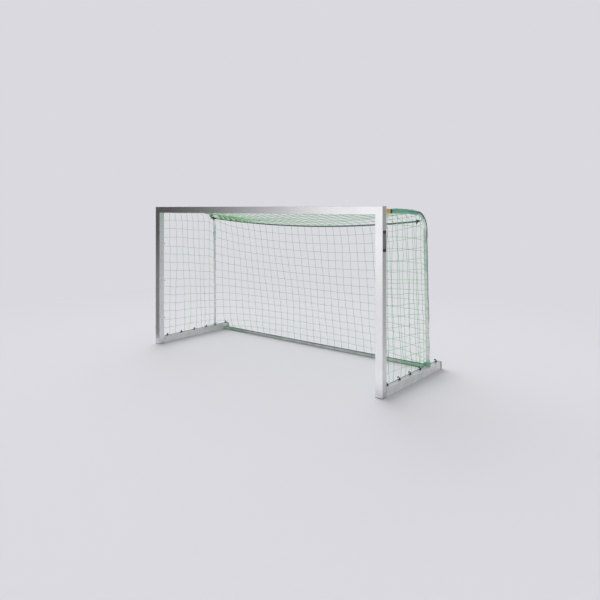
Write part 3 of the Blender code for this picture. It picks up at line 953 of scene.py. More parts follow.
@dataclass
class AluminiumFrame:
    """Posts, crossbar and ground bars keep their solids; welds and the plate are added."""

    bead_radius: float = 0.0028
    bead_step: float = 0.004
    bead_wander: float = 0.1
    bead_ripple: float = 0.08
    bead_lift: float = 0.0008
    bead_bend: float = 0.003
    bead_end: float = 0.004
    corner_inset: float = 0.006
    plate_front: float = 0.008
    plate_width: float = 0.058
    plate_bottom: float = 1.275
    plate_top: float = 1.463
    plate_thickness: float = 0.0002
    plate_gap: float = 0.00005
    plate_corner: float = 0.005
    plate_rim: float = 0.0012

    def build(self) -> None:
        """Dress the sections and add what is fixed to them."""
        finishes = {"crossbar": SECTION_X, "left_post": SECTION_Z, "right_post": SECTION_Z,
                    "left_ground_bar": SECTION_Y, "right_ground_bar": SECTION_Y}
        for node, finish in finishes.items():
            self.redress(node, finish)
        self.redress("rear_ground_tube", GROUND_TUBE)
        for side in Side:
            self.bar_weld(side)
            self.tube_weld(side)
            self.inner_corner_weld(side)
        self.plate()

    @staticmethod
    def redress(node: str, finish: Finish) -> None:
        """Give a node of the frame a better finish.

        Args:
            node: The node's name.
            finish: Its finish.
        """
        solid = frame["nodes"][node]
        solid.data.materials.clear()
        solid.data.materials.append(finish.material())
        LOG.info("%s: %s", node, finish.name)

    def bead(self, name: str, points: Points) -> None:
        """Run a weld bead whose radius swells and shrinks in small steps.

        Args:
            name: The weld's name.
            points: The points that it passes.
        """
        line = respace(np.array(points), self.bead_step / 2)
        number = np.arange(len(line))
        swell = 1 + self.bead_wander * np.sin(0.37 * number) + self.bead_ripple * np.cos(math.pi * number)
        bead = CordMesh(8)
        bead.string(line, self.bead_radius * swell)
        bead.build(name, WELD, "aluminium")

    def bar_weld(self, side: Side) -> None:
        """Weld a ground bar to the back of its post, up its inner side and along its top.

        Args:
            side: The goal's side.
        """
        outer = side * (SIZES.outer_x - self.bead_end - self.bead_bend)
        inner = side * (SIZES.outer_x - SIZES.bar_width)
        y, top = SIZES.section_back_y + self.bead_lift, SIZES.bar_height
        self.bead(f"{side.word}_bar_weld", [(inner, y, self.bead_end), (inner, y, top - self.bead_bend),
                                            (inner + side * self.bead_bend, y, top), (outer, y, top)])

    def tube_weld(self, side: Side) -> None:
        """Weld the rear tube's end to the inner side of its ground bar, all round but for its underside.

        Args:
            side: The goal's side.
        """
        x = side * (SIZES.outer_x - SIZES.bar_width - self.bead_lift)
        turn = np.linspace(-0.28 * math.pi, 1.28 * math.pi, 40)
        radius = SIZES.rear_tube_radius
        line = np.stack([np.full_like(turn, x), SIZES.rear_tube_y + radius * np.cos(turn),
                         radius + radius * np.sin(turn)], axis=1)
        self.bead(f"{side.word}_tube_weld", line)

    def inner_corner_weld(self, side: Side) -> None:
        """Weld a post to the crossbar along the inner edge of their mitred corner.

        Args:
            side: The goal's side.
        """
        x = side * (SIZES.outer_x - SIZES.section)
        z = SIZES.crossbar_z - SIZES.section / 2
        near, far = SIZES.front_y + self.corner_inset, SIZES.section_back_y - self.corner_inset
        self.bead(f"{side.word}_corner_weld", [(x, near, z), (x, far, z)])

    def plate(self) -> None:
        """Fix the plain plate to the outer side of the right post."""
        height = self.plate_top - self.plate_bottom
        middle = (SIZES.outer_x + self.plate_thickness / 2 + self.plate_gap,
                  SIZES.front_y + self.plate_front + self.plate_width / 2, self.plate_bottom + height / 2)
        plate = Bench.cube("right_post_plate", (self.plate_thickness, self.plate_width, height), middle)
        Bench.edit(plate, edges=lambda a, b: abs(a.x - b.x) > self.plate_thickness / 2)
        bpy.ops.mesh.bevel(offset=self.plate_corner, segments=4)
        Bench.edit(plate, faces=lambda face: face.normal.x > 0.9)
        bpy.ops.mesh.inset(thickness=self.plate_rim, depth=-self.plate_thickness / 2)
        Bench.smooth(plate, 30)
        dress(plate, LabelFilm("plate_film"))


@dataclass
class Plugs:
    """Plastic plugs in the ends of the bars and the feet of the posts."""

    head: float = 0.038
    edge: float = 0.004
    field_border: float = 0.0028
    field_slope: float = 0.0008
    field_depth: float = 0.0012
    bar_wall: float = 0.0032
    bar_reach: float = 0.028
    foot_head: float = 0.004
    foot_edge: float = 0.006
    foot_wall: float = 0.0036
    foot_reach: float = 0.024

    def build(self) -> None:
        """Make both kinds of plug on both sides."""
        for side in Side:
            self.bar_plug(side)
            self.foot_plug(side)

    def bar_plug(self, side: Side) -> None:
        """Close the rear end of a ground bar with a block that has a sunk field in its rear face.

        Args:
            side: The goal's side.
        """
        middle = (side * (SIZES.outer_x - SIZES.bar_width / 2), SIZES.rear_y - self.head / 2,
                  SIZES.bar_height / 2)
        plug = Bench.cube(f"{side.word}_bar_plug", (SIZES.bar_width, self.head, SIZES.bar_height), middle)
        Bench.edit(plug, edges=lambda a, b: abs(a.y - b.y) > self.head / 2)
        bpy.ops.mesh.bevel(offset=self.edge, segments=3)
        Bench.edit(plug, faces=lambda face: face.normal.y > 0.9)
        bpy.ops.mesh.inset(thickness=self.field_border)
        bpy.ops.mesh.inset(thickness=self.field_slope, depth=-self.field_depth)
        Bench.edit(plug, faces=lambda face: face.normal.y < -0.9)
        bpy.ops.mesh.inset(thickness=self.bar_wall)
        Bench.extrude((0, -self.bar_reach, 0))
        Bench.round_edges(plug, 0.0008)
        Bench.smooth(plug)
        dress(plug, GREY)
        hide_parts(f"{side.word}_bar_end_plug")

    def foot_plug(self, side: Side) -> None:
        """Close the foot of a post with a flat plug that reaches up into it.

        Args:
            side: The goal's side.
        """
        section = SIZES.section
        middle = (side * (SIZES.outer_x - section / 2), SIZES.front_y + section / 2, self.foot_head / 2)
        plug = Bench.cube(f"{side.word}_foot_plug", (section, section, self.foot_head), middle)
        Bench.edit(plug, edges=lambda a, b: abs(a.z - b.z) > self.foot_head / 2)
        bpy.ops.mesh.bevel(offset=self.foot_edge, segments=5)
        Bench.edit(plug, faces=lambda face: face.normal.z > 0.9)
        bpy.ops.mesh.inset(thickness=self.foot_wall)
        Bench.extrude((0, 0, self.foot_reach))
        Bench.smooth(plug)
        dress(plug, BLACK)
        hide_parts(f"{side.word}_post_foot_plug")


# The brackets


@dataclass
class BracketLine:
    """Centre line of a net bracket: arm, bend and leaning upright, as in the part's source."""

    arm_x: float = 1.525
    arm_z: float = 1.63
    foot_x: float = 1.5425
    droop: float = 0.022
    bend_radius: float = 0.18
    bend_depth: float = 0.9433
    lean: float = 0.0275
    start_y: float = -0.5347
    straight_end: float = -0.3741
    socket_top: float = 0.1063
    eye_reach: float = 0.033
    arm_points: int = 25

    def __post_init__(self) -> None:
        """Work out the bend from the sizes."""
        self.foot_y = SIZES.front_y + self.bend_depth + self.lean
        self.centre_y = SIZES.front_y + self.bend_depth - self.bend_radius
        self.arm_angle = -math.atan(2 * self.droop / (self.centre_y - self.straight_end))
        self.arm_end_y = self.centre_y - self.bend_radius * math.sin(self.arm_angle)
        self.centre_z = self.arm_z - self.droop - self.bend_radius * math.cos(self.arm_angle)
        self.end_angle = -math.pi / 2 + math.atan(self.lean / (self.centre_z - self.socket_top))
        self.middle_angle = (self.arm_angle + self.end_angle) / 2 + math.pi / 2
        self.bend_end = self.on_bend(1.0)

    def on_bend(self, share: float, inward: float = 0.0) -> tuple[float, float]:
        """Return depth and height at a share of the bend, moved inward by a distance.

        Args:
            share: 0 at the arm, 1 at the upright.
            inward: How far inside the centre line.

        Returns:
            Depth and height.
        """
        angle = self.arm_angle + (self.end_angle - self.arm_angle) * share + math.pi / 2
        radius = self.bend_radius - inward
        return self.centre_y + radius * math.cos(angle), self.centre_z + radius * math.sin(angle)

    def arm_height(self, y: float) -> float:
        """Return the height of the arm's centre line at a depth."""
        share = (y - self.straight_end) / (self.arm_end_y - self.straight_end)
        return self.arm_z - self.droop * min(max(share, 0.0), 1.0) ** 2

    def upright_at(self, z: float) -> tuple[float, float]:
        """Return how far out and how deep the upright's centre line is at a height.

        Args:
            z: The height.

        Returns:
            Distance from the goal's middle, and depth.
        """
        top = self.bend_end[1]
        share = min(max((top - z) / (top - self.socket_top), 0.0), 1.0)
        return (self.arm_x + (self.foot_x - self.arm_x) * share,
                self.bend_end[0] + (self.foot_y - self.bend_end[0]) * share)

    def line(self, side: Side, start: float | None = None) -> Array:
        """Return the centre line of one bracket, from a depth on its arm down to its foot.

        Args:
            side: The goal's side.
            start: The depth where it starts, or none for the post.

        Returns:
            The line's points.
        """
        begin = self.start_y if start is None else start
        places = [(y, self.arm_height(y)) for y in np.linspace(begin, self.arm_end_y, self.arm_points + 1)[:-1]]
        places += [self.on_bend(share) for share in even(24)]
        places += [(self.upright_at(z)[1], z) for z in np.linspace(self.bend_end[1], self.socket_top, 20)[1:]]
        places.append((self.foot_y, SIZES.bar_height + SIZES.seat_gap))
        return np.array([(side * self.upright_at(z)[0], y, z) for y, z in places])

    @property
    def eye(self) -> tuple[float, float]:
        """Depth and height of the eye in the corner clip."""
        return self.on_bend(0.5, self.eye_reach)


BRACKET = BracketLine()


@dataclass
class Brackets:
    """Bracket tubes with their sleeves, collars, sockets and corner clips."""

    bore: float = 0.0312
    sleeve_diameter: float = 0.046
    sleeve_length: float = 0.12
    waist_end: float = 0.040
    waist_factor: float = 0.92
    rib_start: float = 0.046
    collar_diameter: float = 0.038
    collar_length: float = 0.04
    band_end: float = 0.009
    band_factor: float = 1.06
    screw_radius: float = 0.0042
    screw_height: float = 0.004
    screw_wall: float = 0.0016
    screw_depth: float = 0.0022
    socket_diameter: float = 0.041
    socket_height: float = 0.03
    flange_top: float = -0.009
    neck_factor: float = 0.93
    clip_diameter: float = 0.038
    clip_bore: float = 0.032
    clip_width: float = 0.02
    lug_reach: float = 0.05
    lug_thickness: float = 0.0048
    lug_offset: float = 0.01
    lug_corner: float = 0.008
    clamp_size: tuple[float, float, float] = (0.034, 0.014, 0.044)
    clamp_sink: float = 0.72
    clamp_x: float = 1.472

    def build(self) -> None:
        """Make both brackets."""
        for side in Side:
            self.tube(side)
            self.sleeve(side)
            self.collar(side)
            self.socket(side)
            self.clip(side)

    def tube(self, side: Side) -> None:
        """Bend the bracket's tube.

        Args:
            side: The goal's side.
        """
        tube = CordMesh(28)
        tube.string(BRACKET.line(side), SIZES.bracket_radius)
        piece = tube.build(f"{side.word}_bracket_tube", TUBE, "tube")
        Bench.smooth(piece, 50)
        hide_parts(f"{side.word}_net_bracket")

    def sleeve(self, side: Side) -> None:
        """Push the orange sleeve against the post; it has a waist and a rib at each end.

        Args:
            side: The goal's side.
        """
        sleeve = ring_piece(f"{side.word}_orange_sleeve", self.sleeve_diameter, self.bore, self.sleeve_length, 0.002)
        Bench.cut(sleeve, -self.rib_start, -self.waist_end, self.waist_end, self.rib_start)
        Bench.swell(sleeve, -self.waist_end, self.waist_end, self.sleeve_diameter / 2, self.waist_factor)
        y = SIZES.section_back_y + SIZES.seat_gap + self.sleeve_length / 2
        Bench.put(sleeve, (side * BRACKET.arm_x, y, BRACKET.arm_z), lying_along_y())
        dress(sleeve, ORANGE)
        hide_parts(f"{side.word}_bracket_sleeve")

    def collar(self, side: Side) -> None:
        """Clamp the black collar behind the sleeve, with a raised band round it and a screw underneath.

        Args:
            side: The goal's side.
        """
        collar = ring_piece(f"{side.word}_black_collar", self.collar_diameter, self.bore, self.collar_length, 0.0015)
        Bench.cut(collar, self.band_end, -self.band_end)
        outer = self.collar_diameter / 2
        Bench.swell(collar, -self.band_end, self.band_end, outer, self.band_factor)
        y = SIZES.section_back_y + 2 * SIZES.seat_gap + self.sleeve_length + self.collar_length / 2
        Bench.put(collar, (side * BRACKET.arm_x, y, BRACKET.arm_z), lying_along_y())
        dress(collar, BLACK)
        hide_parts(f"{side.word}_bracket_collar")
        self.screw(f"{side.word}_collar_screw", (side * BRACKET.arm_x, y, BRACKET.arm_z - outer - 0.0005))

    def screw(self, name: str, place: Point) -> None:
        """Put a socket screw under the collar.

        Args:
            name: The screw's name.
            place: Its middle.
        """
        screw = Bench.cylinder(name, self.screw_radius, self.screw_height, (0, 0, 0), 20)
        Bench.edit(screw, faces=lambda face: face.normal.z < -0.9)
        bpy.ops.mesh.inset(thickness=self.screw_wall)
        Bench.extrude((0, 0, self.screw_depth))
        Bench.round_edges(screw, 0.0003)
        Bench.smooth(screw)
        Bench.put(screw, place)
        dress(screw, TUBE)

    def socket(self, side: Side) -> None:
        """Stand the bracket's foot in its socket, which has a wider flange on the bar.

        Args:
            side: The goal's side.
        """
        socket = ring_piece(f"{side.word}_foot_socket", self.socket_diameter, self.bore, self.socket_height, 0.0015)
        Bench.cut(socket, self.flange_top)
        Bench.swell(socket, self.flange_top, self.socket_height / 2, self.socket_diameter / 2, self.neck_factor)
        z = SIZES.bar_height + SIZES.seat_gap + self.socket_height / 2
        Bench.put(socket, (side * BRACKET.foot_x, BRACKET.foot_y, z))
        dress(socket, GREY)
        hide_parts(f"{side.word}_bracket_foot_socket")

    def clip(self, side: Side) -> None:
        """Make the corner clip: a band round the bend, its lug, and the black clamp that grips the rope.

        Args:
            side: The goal's side.
        """
        ring = ring_piece(f"{side.word}_clip_band", self.clip_diameter, self.clip_bore, self.clip_width, 0.0012)
        start = (self.clip_diameter + self.clip_bore) / 4
        length = self.lug_reach - start
        middle = start + length / 2
        lug = Bench.cube(f"{side.word}_clip_lug", (self.lug_thickness, length, self.clip_width),
                         (-side * self.lug_offset, middle, 0))
        Bench.edit(lug, edges=lambda a, b: abs(a.x - b.x) > self.lug_thickness / 2 and a.y > middle)
        bpy.ops.mesh.bevel(offset=self.lug_corner, segments=6)
        Bench.edit(lug, faces=lambda face: abs(face.normal.x) > 0.9)
        bpy.ops.mesh.inset(thickness=0.003, depth=-0.0008)
        Bench.round_edges(lug, 0.0006)
        y, z = BRACKET.on_bend(0.5)
        tilt = Matrix.Rotation(BRACKET.middle_angle + math.pi, 3, "X")
        for piece in (ring, lug):
            Bench.smooth(piece, 40)
            Bench.put(piece, (side * BRACKET.arm_x, y, z), tilt)
            dress(piece, TUBE)
        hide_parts(f"{side.word}_corner_clip")
        self.clamp(side)

    def clamp(self, side: Side) -> None:
        """Shape the wedge-like rope clamp beside the clip, with a sunk field in each broad face.

        Args:
            side: The goal's side.
        """
        clamp = Bench.cube(f"{side.word}_rope_clamp", self.clamp_size, (0, 0, 0))
        # The lower end is drawn in to a slanted point below the inner half.
        Bench.edit(clamp, points=lambda place: place.z < 0 and place.x > 0)
        bpy.ops.transform.translate(value=(-0.018, 0, 0.014))
        Bench.edit(clamp, points=lambda place: place.z < 0 and place.x < -0.01)
        bpy.ops.transform.translate(value=(0.003, 0, -0.004))
        Bench.edit(clamp, faces=lambda face: abs(face.normal.y) > 0.9)
        bpy.ops.mesh.inset(thickness=0.003)
        bpy.ops.transform.resize(value=(1, self.clamp_sink, 1), center_override=(0, 0, 0))
        Bench.round_edges(clamp, 0.0016, segments=3, angle=30.0)
        Bench.smooth(clamp, 40)
        Bench.put(clamp, (0, 0, 0), Matrix.Rotation(math.pi * (side < 0), 3, "Z"))
        x, y, z = ROPE.at(np.array([side * self.clamp_x]))[0]
        Bench.put(clamp, (x + 0.003 * side, y, z - 0.006))
        dress(clamp, BLACK)


# The hooks


class HookSeat(Enum):
    """What a hook is fixed to, which settles how it stands."""

    BAR = "bar_hook"
    POST = "post_hook"
    CROSSBAR = "crossbar_hook"

    def turn(self, side: Side) -> Matrix:
        """Return how the hook is turned on one side of the goal.

        Args:
            side: The goal's side.

        Returns:
            The turn.
        """
        inward = Matrix.Rotation(math.pi if side < 0 else 0.0, 3, "Z")
        back = Matrix.Rotation(-math.pi / 2, 3, "X")
        if self is HookSeat.BAR:
            return inward
        if self is HookSeat.POST:
            return back @ inward
        return back @ Matrix.Rotation(-math.pi / 2, 3, "Z")


@dataclass
class NetHooks:
    """Moulded hooks, each on its own body: a base, a stem and a curl that comes down inside."""

    base_radius: float = 0.011
    base_thickness: float = 0.003
    base_edge: float = 0.0009
    stem_step: float = 0.0012
    stem_radius: float = 0.0045
    stem_height: float = 0.017
    curl_radius: float = 0.0085
    tip_drop: float = 0.005
    tip_scale: float = 0.78

    def build(self) -> None:
        """Mould one hook and copy it to every hook's place."""
        pattern = self.mould()
        for joint in frame["joints"]:
            node = joint["child"]
            # The last kind is tried first, because its word holds the first one's.
            seat = next(kind for kind in reversed(HookSeat) if kind.value in node)
            hook = Bench.copy(pattern, f"{node}_moulded")
            Bench.put(hook, joint["pos_m"], seat.turn(Side.LEFT if joint["pos_m"][0] < 0 else Side.RIGHT))
            dress(hook, HOOK_GREEN, node)
            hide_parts(node)
        Bench.discard(pattern)

    def mould(self) -> Piece:
        """Shape the hook about the origin, with its stem along Z and its curl towards -X.

        Returns:
            The hook that the others are copied from.
        """
        top = self.base_thickness - 1e-5
        tip_side = -1.5 * self.curl_radius
        hook = Bench.cylinder("hook_pattern", self.base_radius, self.base_thickness,
                              (0, 0, self.base_thickness / 2), 20)
        Bench.edit(hook, edges=lambda a, b: min(a.z, b.z) > top)
        bpy.ops.mesh.bevel(offset=self.base_edge, segments=2)
        Bench.edit(hook, faces=lambda face: face.normal.z > 0.99 and face.center.z > top)
        bpy.ops.mesh.inset(thickness=self.base_radius - self.base_edge - self.stem_radius * 1.35)
        bpy.ops.mesh.inset(thickness=self.stem_radius * 0.35, depth=self.stem_step)
        Bench.extrude((0, 0, self.stem_height - self.base_thickness - self.stem_step))
        bpy.ops.mesh.spin(steps=10, angle=math.pi, center=(-self.curl_radius, 0, self.stem_height), axis=(0, 1, 0))
        bpy.ops.object.mode_set(mode="OBJECT")
        low = min(point.co.z for point in hook.data.vertices if point.co.x < tip_side)
        Bench.edit(hook, faces=lambda face: face.normal.z < -0.9 and face.center.x < tip_side)
        centre = (-2 * self.curl_radius, 0, low)
        bpy.ops.transform.resize(value=(self.tip_scale, self.tip_scale, 1), center_override=centre)
        Bench.extrude((0, 0, -self.tip_drop * 0.7))
        bpy.ops.mesh.inset(thickness=0.0012, depth=0.0011)
        bpy.ops.mesh.select_all(action="SELECT")
        bpy.ops.mesh.remove_doubles(threshold=1e-6)
        bpy.ops.mesh.normals_make_consistent(inside=False)
        Bench.smooth(hook, 45)
        return hook


# The rope


@dataclass
class TopRope:
    """The laid rope between the corner clips, which carries the roof and the back of the net.

    The strand ratio is the rope's radius over that of one of its three touching strands.
    """

    end_x: float = 1.5102
    sag: float = 0.0822
    bow: float = 0.0746
    diameter: float = 0.006
    length: float = 3.03
    strand_lay: float = 0.03
    strand_ratio: float = 2.1547
    steps: int = 128
    route: tuple[tuple[float, float], ...] = (
        (0.000, 1.000), (0.140, 0.980), (0.280, 0.922), (0.415, 0.828), (0.550, 0.697),
        (0.675, 0.544), (0.790, 0.376), (0.900, 0.190), (1.000, 0.000))

    def line(self) -> Array:
        """Return the rope's centre line from the left clip to the right one.

        Returns:
            The line's points.
        """
        y, z = BRACKET.eye
        half = [(place * self.end_x, y + self.bow * slack, z - self.sag * slack) for place, slack in self.route]
        return smooth_line([(-x, y, z) for x, y, z in half[:0:-1]] + half, self.steps)

    def at(self, x: Array) -> Array:
        """Return the rope's points at places along the goal's width."""
        line = self.line()
        return np.stack([np.interp(x, line[:, 0], line[:, k]) for k in range(3)], axis=-1)

    def build(self) -> None:
        """Lay three strands round the rope's line."""
        line = self.line()
        strand = self.diameter / 2 / self.strand_ratio
        rope = CordMesh(6)
        for number in range(3):
            rope.string(coil_round(line, self.diameter / 2 - strand, self.strand_lay, number / 3, 10), strand)
        piece = rope.build("top_rope", ROPE_GREEN, "rope")
        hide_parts("rear_top_rope")


ROPE = TopRope()


# The net


@dataclass
class NetPanel:
    """One side of the net: square meshes between four edges, with drift, bulge and slack cords.

    The edges bottom and top run with the columns, first and last with the rows.
    """

    name: str
    node: str
    bottom: Edge
    top: Edge
    first: Edge
    last: Edge
    column_shares: Array
    row_shares: Array
    hold: float = 1.0
    billow: tuple[float, float, float] = (0, 0, 0)
    drift: tuple[float, float, float] = (0, 0, 0)
    fall: float = 0.0
    slack: float = 0.003
    cord_radius: float = 0.0015
    knot_radius: float = 0.0028
    steps: int = 4
    seed: int = 1
    finish: Finish = NET_GREEN

    def surface(self, u: Array, v: Array) -> Array:
        """Return the panel's points at shares across it and up it.

        Args:
            u: Shares across the panel.
            v: Shares up it.

        Returns:
            The points.
        """
        u1, v1 = u[..., None], v[..., None]
        across = (1 - v1) * self.bottom.at(u) + v1 * self.top.at(u)
        first_bow = self.first.at(v) - ((1 - v1) * self.bottom.at(0.0) + v1 * self.top.at(0.0))
        last_bow = self.last.at(v) - ((1 - v1) * self.bottom.at(1.0) + v1 * self.top.at(1.0))
        place = across + (1 - u1) ** self.hold * first_bow + u1 ** self.hold * last_bow
        inner = (np.sin(math.pi * u) * np.sin(math.pi * v))[..., None]
        place = place + np.clip(inner, 0, 1) * np.array(self.billow)
        phase = self.seed * 1.7
        wave = sum(size * np.sin(2 * math.pi * (columns * u + rows * v) + turn * phase)
                   for size, columns, rows, turn in DRIFT_WAVES)
        place = place + np.clip(inner * 1.6, 0, 1) * wave[..., None] * np.array(self.drift)
        lift = np.sin(2 * math.pi * (1.7 * u + 0.8 * v) + 1.3 * phase) * 0.4 - 1.0
        place[..., 2] += self.fall * np.sin(math.pi * u) ** 0.7 * np.sin(math.pi * v) ** 0.8 * lift
        return place

    def cord(self, fixed: float, shares: Array, level: bool, bows: np.random.Generator) -> Array:
        """Return one cord of the panel.

        Args:
            fixed: The share that stays the same along the cord.
            shares: The shares of its knots.
            level: Whether it runs across the panel, and else up it.
            bows: Gives the small bow of each mesh side.

        Returns:
            The cord's points.
        """
        cells = len(shares) - 1
        part = np.tile(np.arange(self.steps) / self.steps, cells)
        fine = np.append(np.repeat(shares[:-1], self.steps) + part * np.repeat(np.diff(shares), self.steps),
                         shares[-1])
        still = np.full_like(fine, fixed)
        line = self.surface(fine, still) if level else self.surface(still, fine)
        bow = np.append(np.repeat(bows.normal(0, 1, (cells, 3)), self.steps, axis=0), np.zeros((1, 3)), axis=0)
        bow[:, 2] = -np.abs(bow[:, 2]) if level else 0.3 * bow[:, 2]
        hump = np.append(np.sin(math.pi * part), 0.0)
        return line + self.slack * 0.6 * bow * hump[:, None]

    def build(self) -> None:
        """Knit the panel and let it replace its solid."""
        bows = np.random.default_rng(self.seed)
        net = CordMesh(5)
        for v in self.row_shares[1:-1]:
            net.string(self.cord(v, self.column_shares, True, bows), self.cord_radius)
        for u in self.column_shares[1:-1]:
            net.string(self.cord(u, self.row_shares, False, bows), self.cord_radius)
        across, up = np.meshgrid(self.column_shares, self.row_shares)
        for place in self.surface(across, up).reshape(-1, 3):
            net.knot(place, self.knot_radius, (1.0, 0.85, 1.25))
        piece = net.build(self.name, self.finish)
        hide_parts(self.node)

    def hem(self, name: str, radius: float) -> None:
        """Run the thicker edge cord along the bottom and the top.

        Args:
            name: The piece's name.
            radius: The edge cord's radius.
        """
        across = even(HEM_STEPS)
        hem = CordMesh(8)
        for end in (0.0, 1.0):
            hem.string(self.surface(across, np.full_like(across, end)), radius)
        hem.build(name, HEM_GREEN)


@dataclass(frozen=True)
class UprightCord:
    """A cord down a bracket's upright, which passes behind the tube below a height.

    The angle is round the tube, in degrees: 0 is outward and 90 to the rear. Below the crossing the
    cord turns on by the last number.
    """

    radius: float
    angle: float
    crossing: float
    turn: float

    def line(self, side: Side) -> Array:
        """Return the cord's centre line.

        Args:
            side: The goal's side.

        Returns:
            The line's points.
        """
        places = []
        for z in np.linspace(BRACKET.bend_end[1] + 0.01, 0.13, 60):
            x, y = BRACKET.upright_at(z)
            behind = self.turn * min(max((self.crossing - z) / 0.16, 0.0), 1.0)
            angle = math.radians(self.angle + behind + 6 * math.sin(z * 23 + self.angle))
            reach = SIZES.bracket_radius + self.radius + 0.0006
            places.append((side * (x + reach * math.cos(angle)), y + reach * math.sin(angle), z))
        return np.array(places)


class RopeSide(Enum):
    """Where a panel's edge runs beside the rope: behind and below it, or before and above it."""

    BACK = (0.0, 0.003, -0.0056)
    ROOF = (0.0, -0.003, 0.0056)


@dataclass
class Net:
    """The whole net: back, roof and sides, edge cords, lacing and the gathered corners."""

    half_width: float = 1.4992
    hem_radius: float = 0.0025
    lace_radius: float = 0.0017
    strand_radius: float = 0.0019
    turn_radius: float = 0.0024
    columns: int = 30
    back_rows: int = 16
    roof_rows: int = 9
    wrap_start: float = -0.372
    gather_height: float = 0.2
    front_rows: tuple[float, ...] = (0.0811, 0.183, 0.279, 0.387, 0.489, 0.591, 0.693, 0.796, 0.897, 0.998,
                                     1.100, 1.193, 1.304, 1.406, 1.508, 1.606)
    foot_columns: tuple[float, ...] = (-0.5289, -0.425, -0.333, -0.190, -0.098, 0.012, 0.098, 0.158, 0.238,
                                       0.312)
    foot_hem_x: float = 1.519
    hem_end: tuple[tuple[float, float], ...] = (
        (1.517, 0.345), (1.517, 0.385), (1.524, 0.43), (SIZES.hem_x, 0.5), (SIZES.hem_x, 0.575))
    gather_x: float = -1.415
    gather_strands: int = 16

    def build(self) -> None:
        """Make every part of the net."""
        self.back()
        self.roof()
        for side in Side:
            self.side(side)
            self.arm_wrap(side)
            self.bend_cords(side)
            self.upright_lacing(side)
            self.upright_strands(side)
            self.corner_gather(side)
        self.roof_gather()
        self.tube_lacing()
        self.rope_lacing()

    @property
    def tube_hem_z(self) -> float:
        """Height of the edge cord on top of the rear tube."""
        return 2 * SIZES.rear_tube_radius + self.hem_radius

    @property
    def edge_gap(self) -> float:
        """Distance of the panels' edges from the brackets' centre lines."""
        return SIZES.bracket_radius + 0.003

    def rope_edge(self, place: RopeSide) -> Edge:
        """Return the edge that a panel has along the rope.

        Args:
            place: Where the edge runs.

        Returns:
            The edge.
        """
        x = np.linspace(-self.half_width, self.half_width, 61)
        return Edge.through(ROPE.at(x) + np.array(place.value), (x + self.half_width) / (2 * self.half_width))

    def back_edge(self, side: Side) -> Edge:
        """Return a side edge of the back: from the rear tube to the upright and up to the clip.

        Args:
            side: The goal's side.

        Returns:
            The edge.
        """
        low_x, low_y = BRACKET.upright_at(self.gather_height)
        top_y, top_z = BRACKET.bend_end
        top = self.rope_edge(RopeSide.BACK)
        inset = SIZES.bracket_radius + 0.004
        points = [(side * self.half_width, SIZES.rear_tube_y, self.tube_hem_z),
                  (side * (low_x - inset), low_y + 0.02, self.gather_height),
                  (side * (BRACKET.arm_x - inset), top_y, top_z), tuple(top.at((1 + side) / 2))]
        return Edge.through(smooth_line(points, 40))

    def back(self) -> None:
        """Hang the back between the rope, the uprights and the rear tube."""
        bottom = Edge.through([(side * self.half_width, SIZES.rear_tube_y, self.tube_hem_z) for side in Side])
        pitches = np.linspace(0.84, 1.06, self.back_rows)
        rows = np.concatenate([[0], np.cumsum(pitches)]) / pitches.sum()
        panel = NetPanel("back_net", "net_back", bottom, self.rope_edge(RopeSide.BACK), self.back_edge(Side.LEFT),
                         self.back_edge(Side.RIGHT), even(self.columns), rows, hold=8.0, billow=(0, 0.03, 0),
                         drift=(0.009, 0.004, 0), fall=0.004, seed=3)
        panel.build()
        panel.hem("back_net_hem", self.hem_radius)

    def roof(self) -> None:
        """Hang the roof between the crossbar, the arms and the rope."""
        knots = [(0, -self.half_width), (14 / 30, -0.075), (0.5, 0.03), (16 / 30, 0.112), (1, self.half_width)]
        front = Edge.through([(x, SIZES.hem_y, SIZES.crossbar_z - 0.0075) for _, x in knots],
                             [share for share, _ in knots])
        rear = self.rope_edge(RopeSide.ROOF)
        panel = NetPanel("roof_net", "net_roof", front, rear, self.roof_edge(Side.LEFT, front, rear),
                         self.roof_edge(Side.RIGHT, front, rear), even(self.columns), even(self.roof_rows), hold=4.0,
                         drift=(0.006, 0.004, 0), fall=0.012, cord_radius=self.strand_radius, seed=5,
                         finish=ROOF_GREEN_PAINTED_LIGHT)
        panel.build()
        panel.hem("roof_net_hem", self.hem_radius)

    def roof_edge(self, side: Side, front: Edge, rear: Edge) -> Edge:
        """Return a side edge of the roof, along the inner side of the arm.

        Args:
            side: The goal's side.
            front: The roof's front edge.
            rear: The roof's rear edge.

        Returns:
            The edge.
        """
        share = (1 + side) / 2
        x = side * (BRACKET.arm_x - self.edge_gap)
        points = [front.at(share)]
        points += [np.array((x, y, BRACKET.arm_height(y))) for y in np.linspace(-0.34, 0.13, 6)]
        points.append(rear.at(share))
        return Edge.through(smooth_line(points, 48))

    def side(self, side: Side) -> None:
        """Hang a side between the post, the arm, the upright and the ground bar.

        Args:
            side: The goal's side.
        """
        rows, columns = np.array(self.front_rows), np.array(self.foot_columns)
        shares = (rows - rows[0]) / (rows[-1] - rows[0])
        spread = even(len(columns) - 1)
        front = Edge.through([(side * SIZES.hem_x, SIZES.hem_y, z) for z in rows], shares)
        bottom = Edge.through([(side * (SIZES.hem_x if y < 0.27 else self.foot_hem_x), y, SIZES.hem_z)
                               for y in columns], spread)
        panel = NetPanel(f"{side.word}_side_net", f"net_{side.word}", bottom, self.side_top(side), front,
                         self.side_rear(side), spread, shares, hold=1.0, billow=(side * -0.012, 0, 0),
                         drift=(0.004, 0.007, 0), fall=0.012, slack=0.005, seed=7 + side)
        panel.build()
        self.side_hem(side, panel)

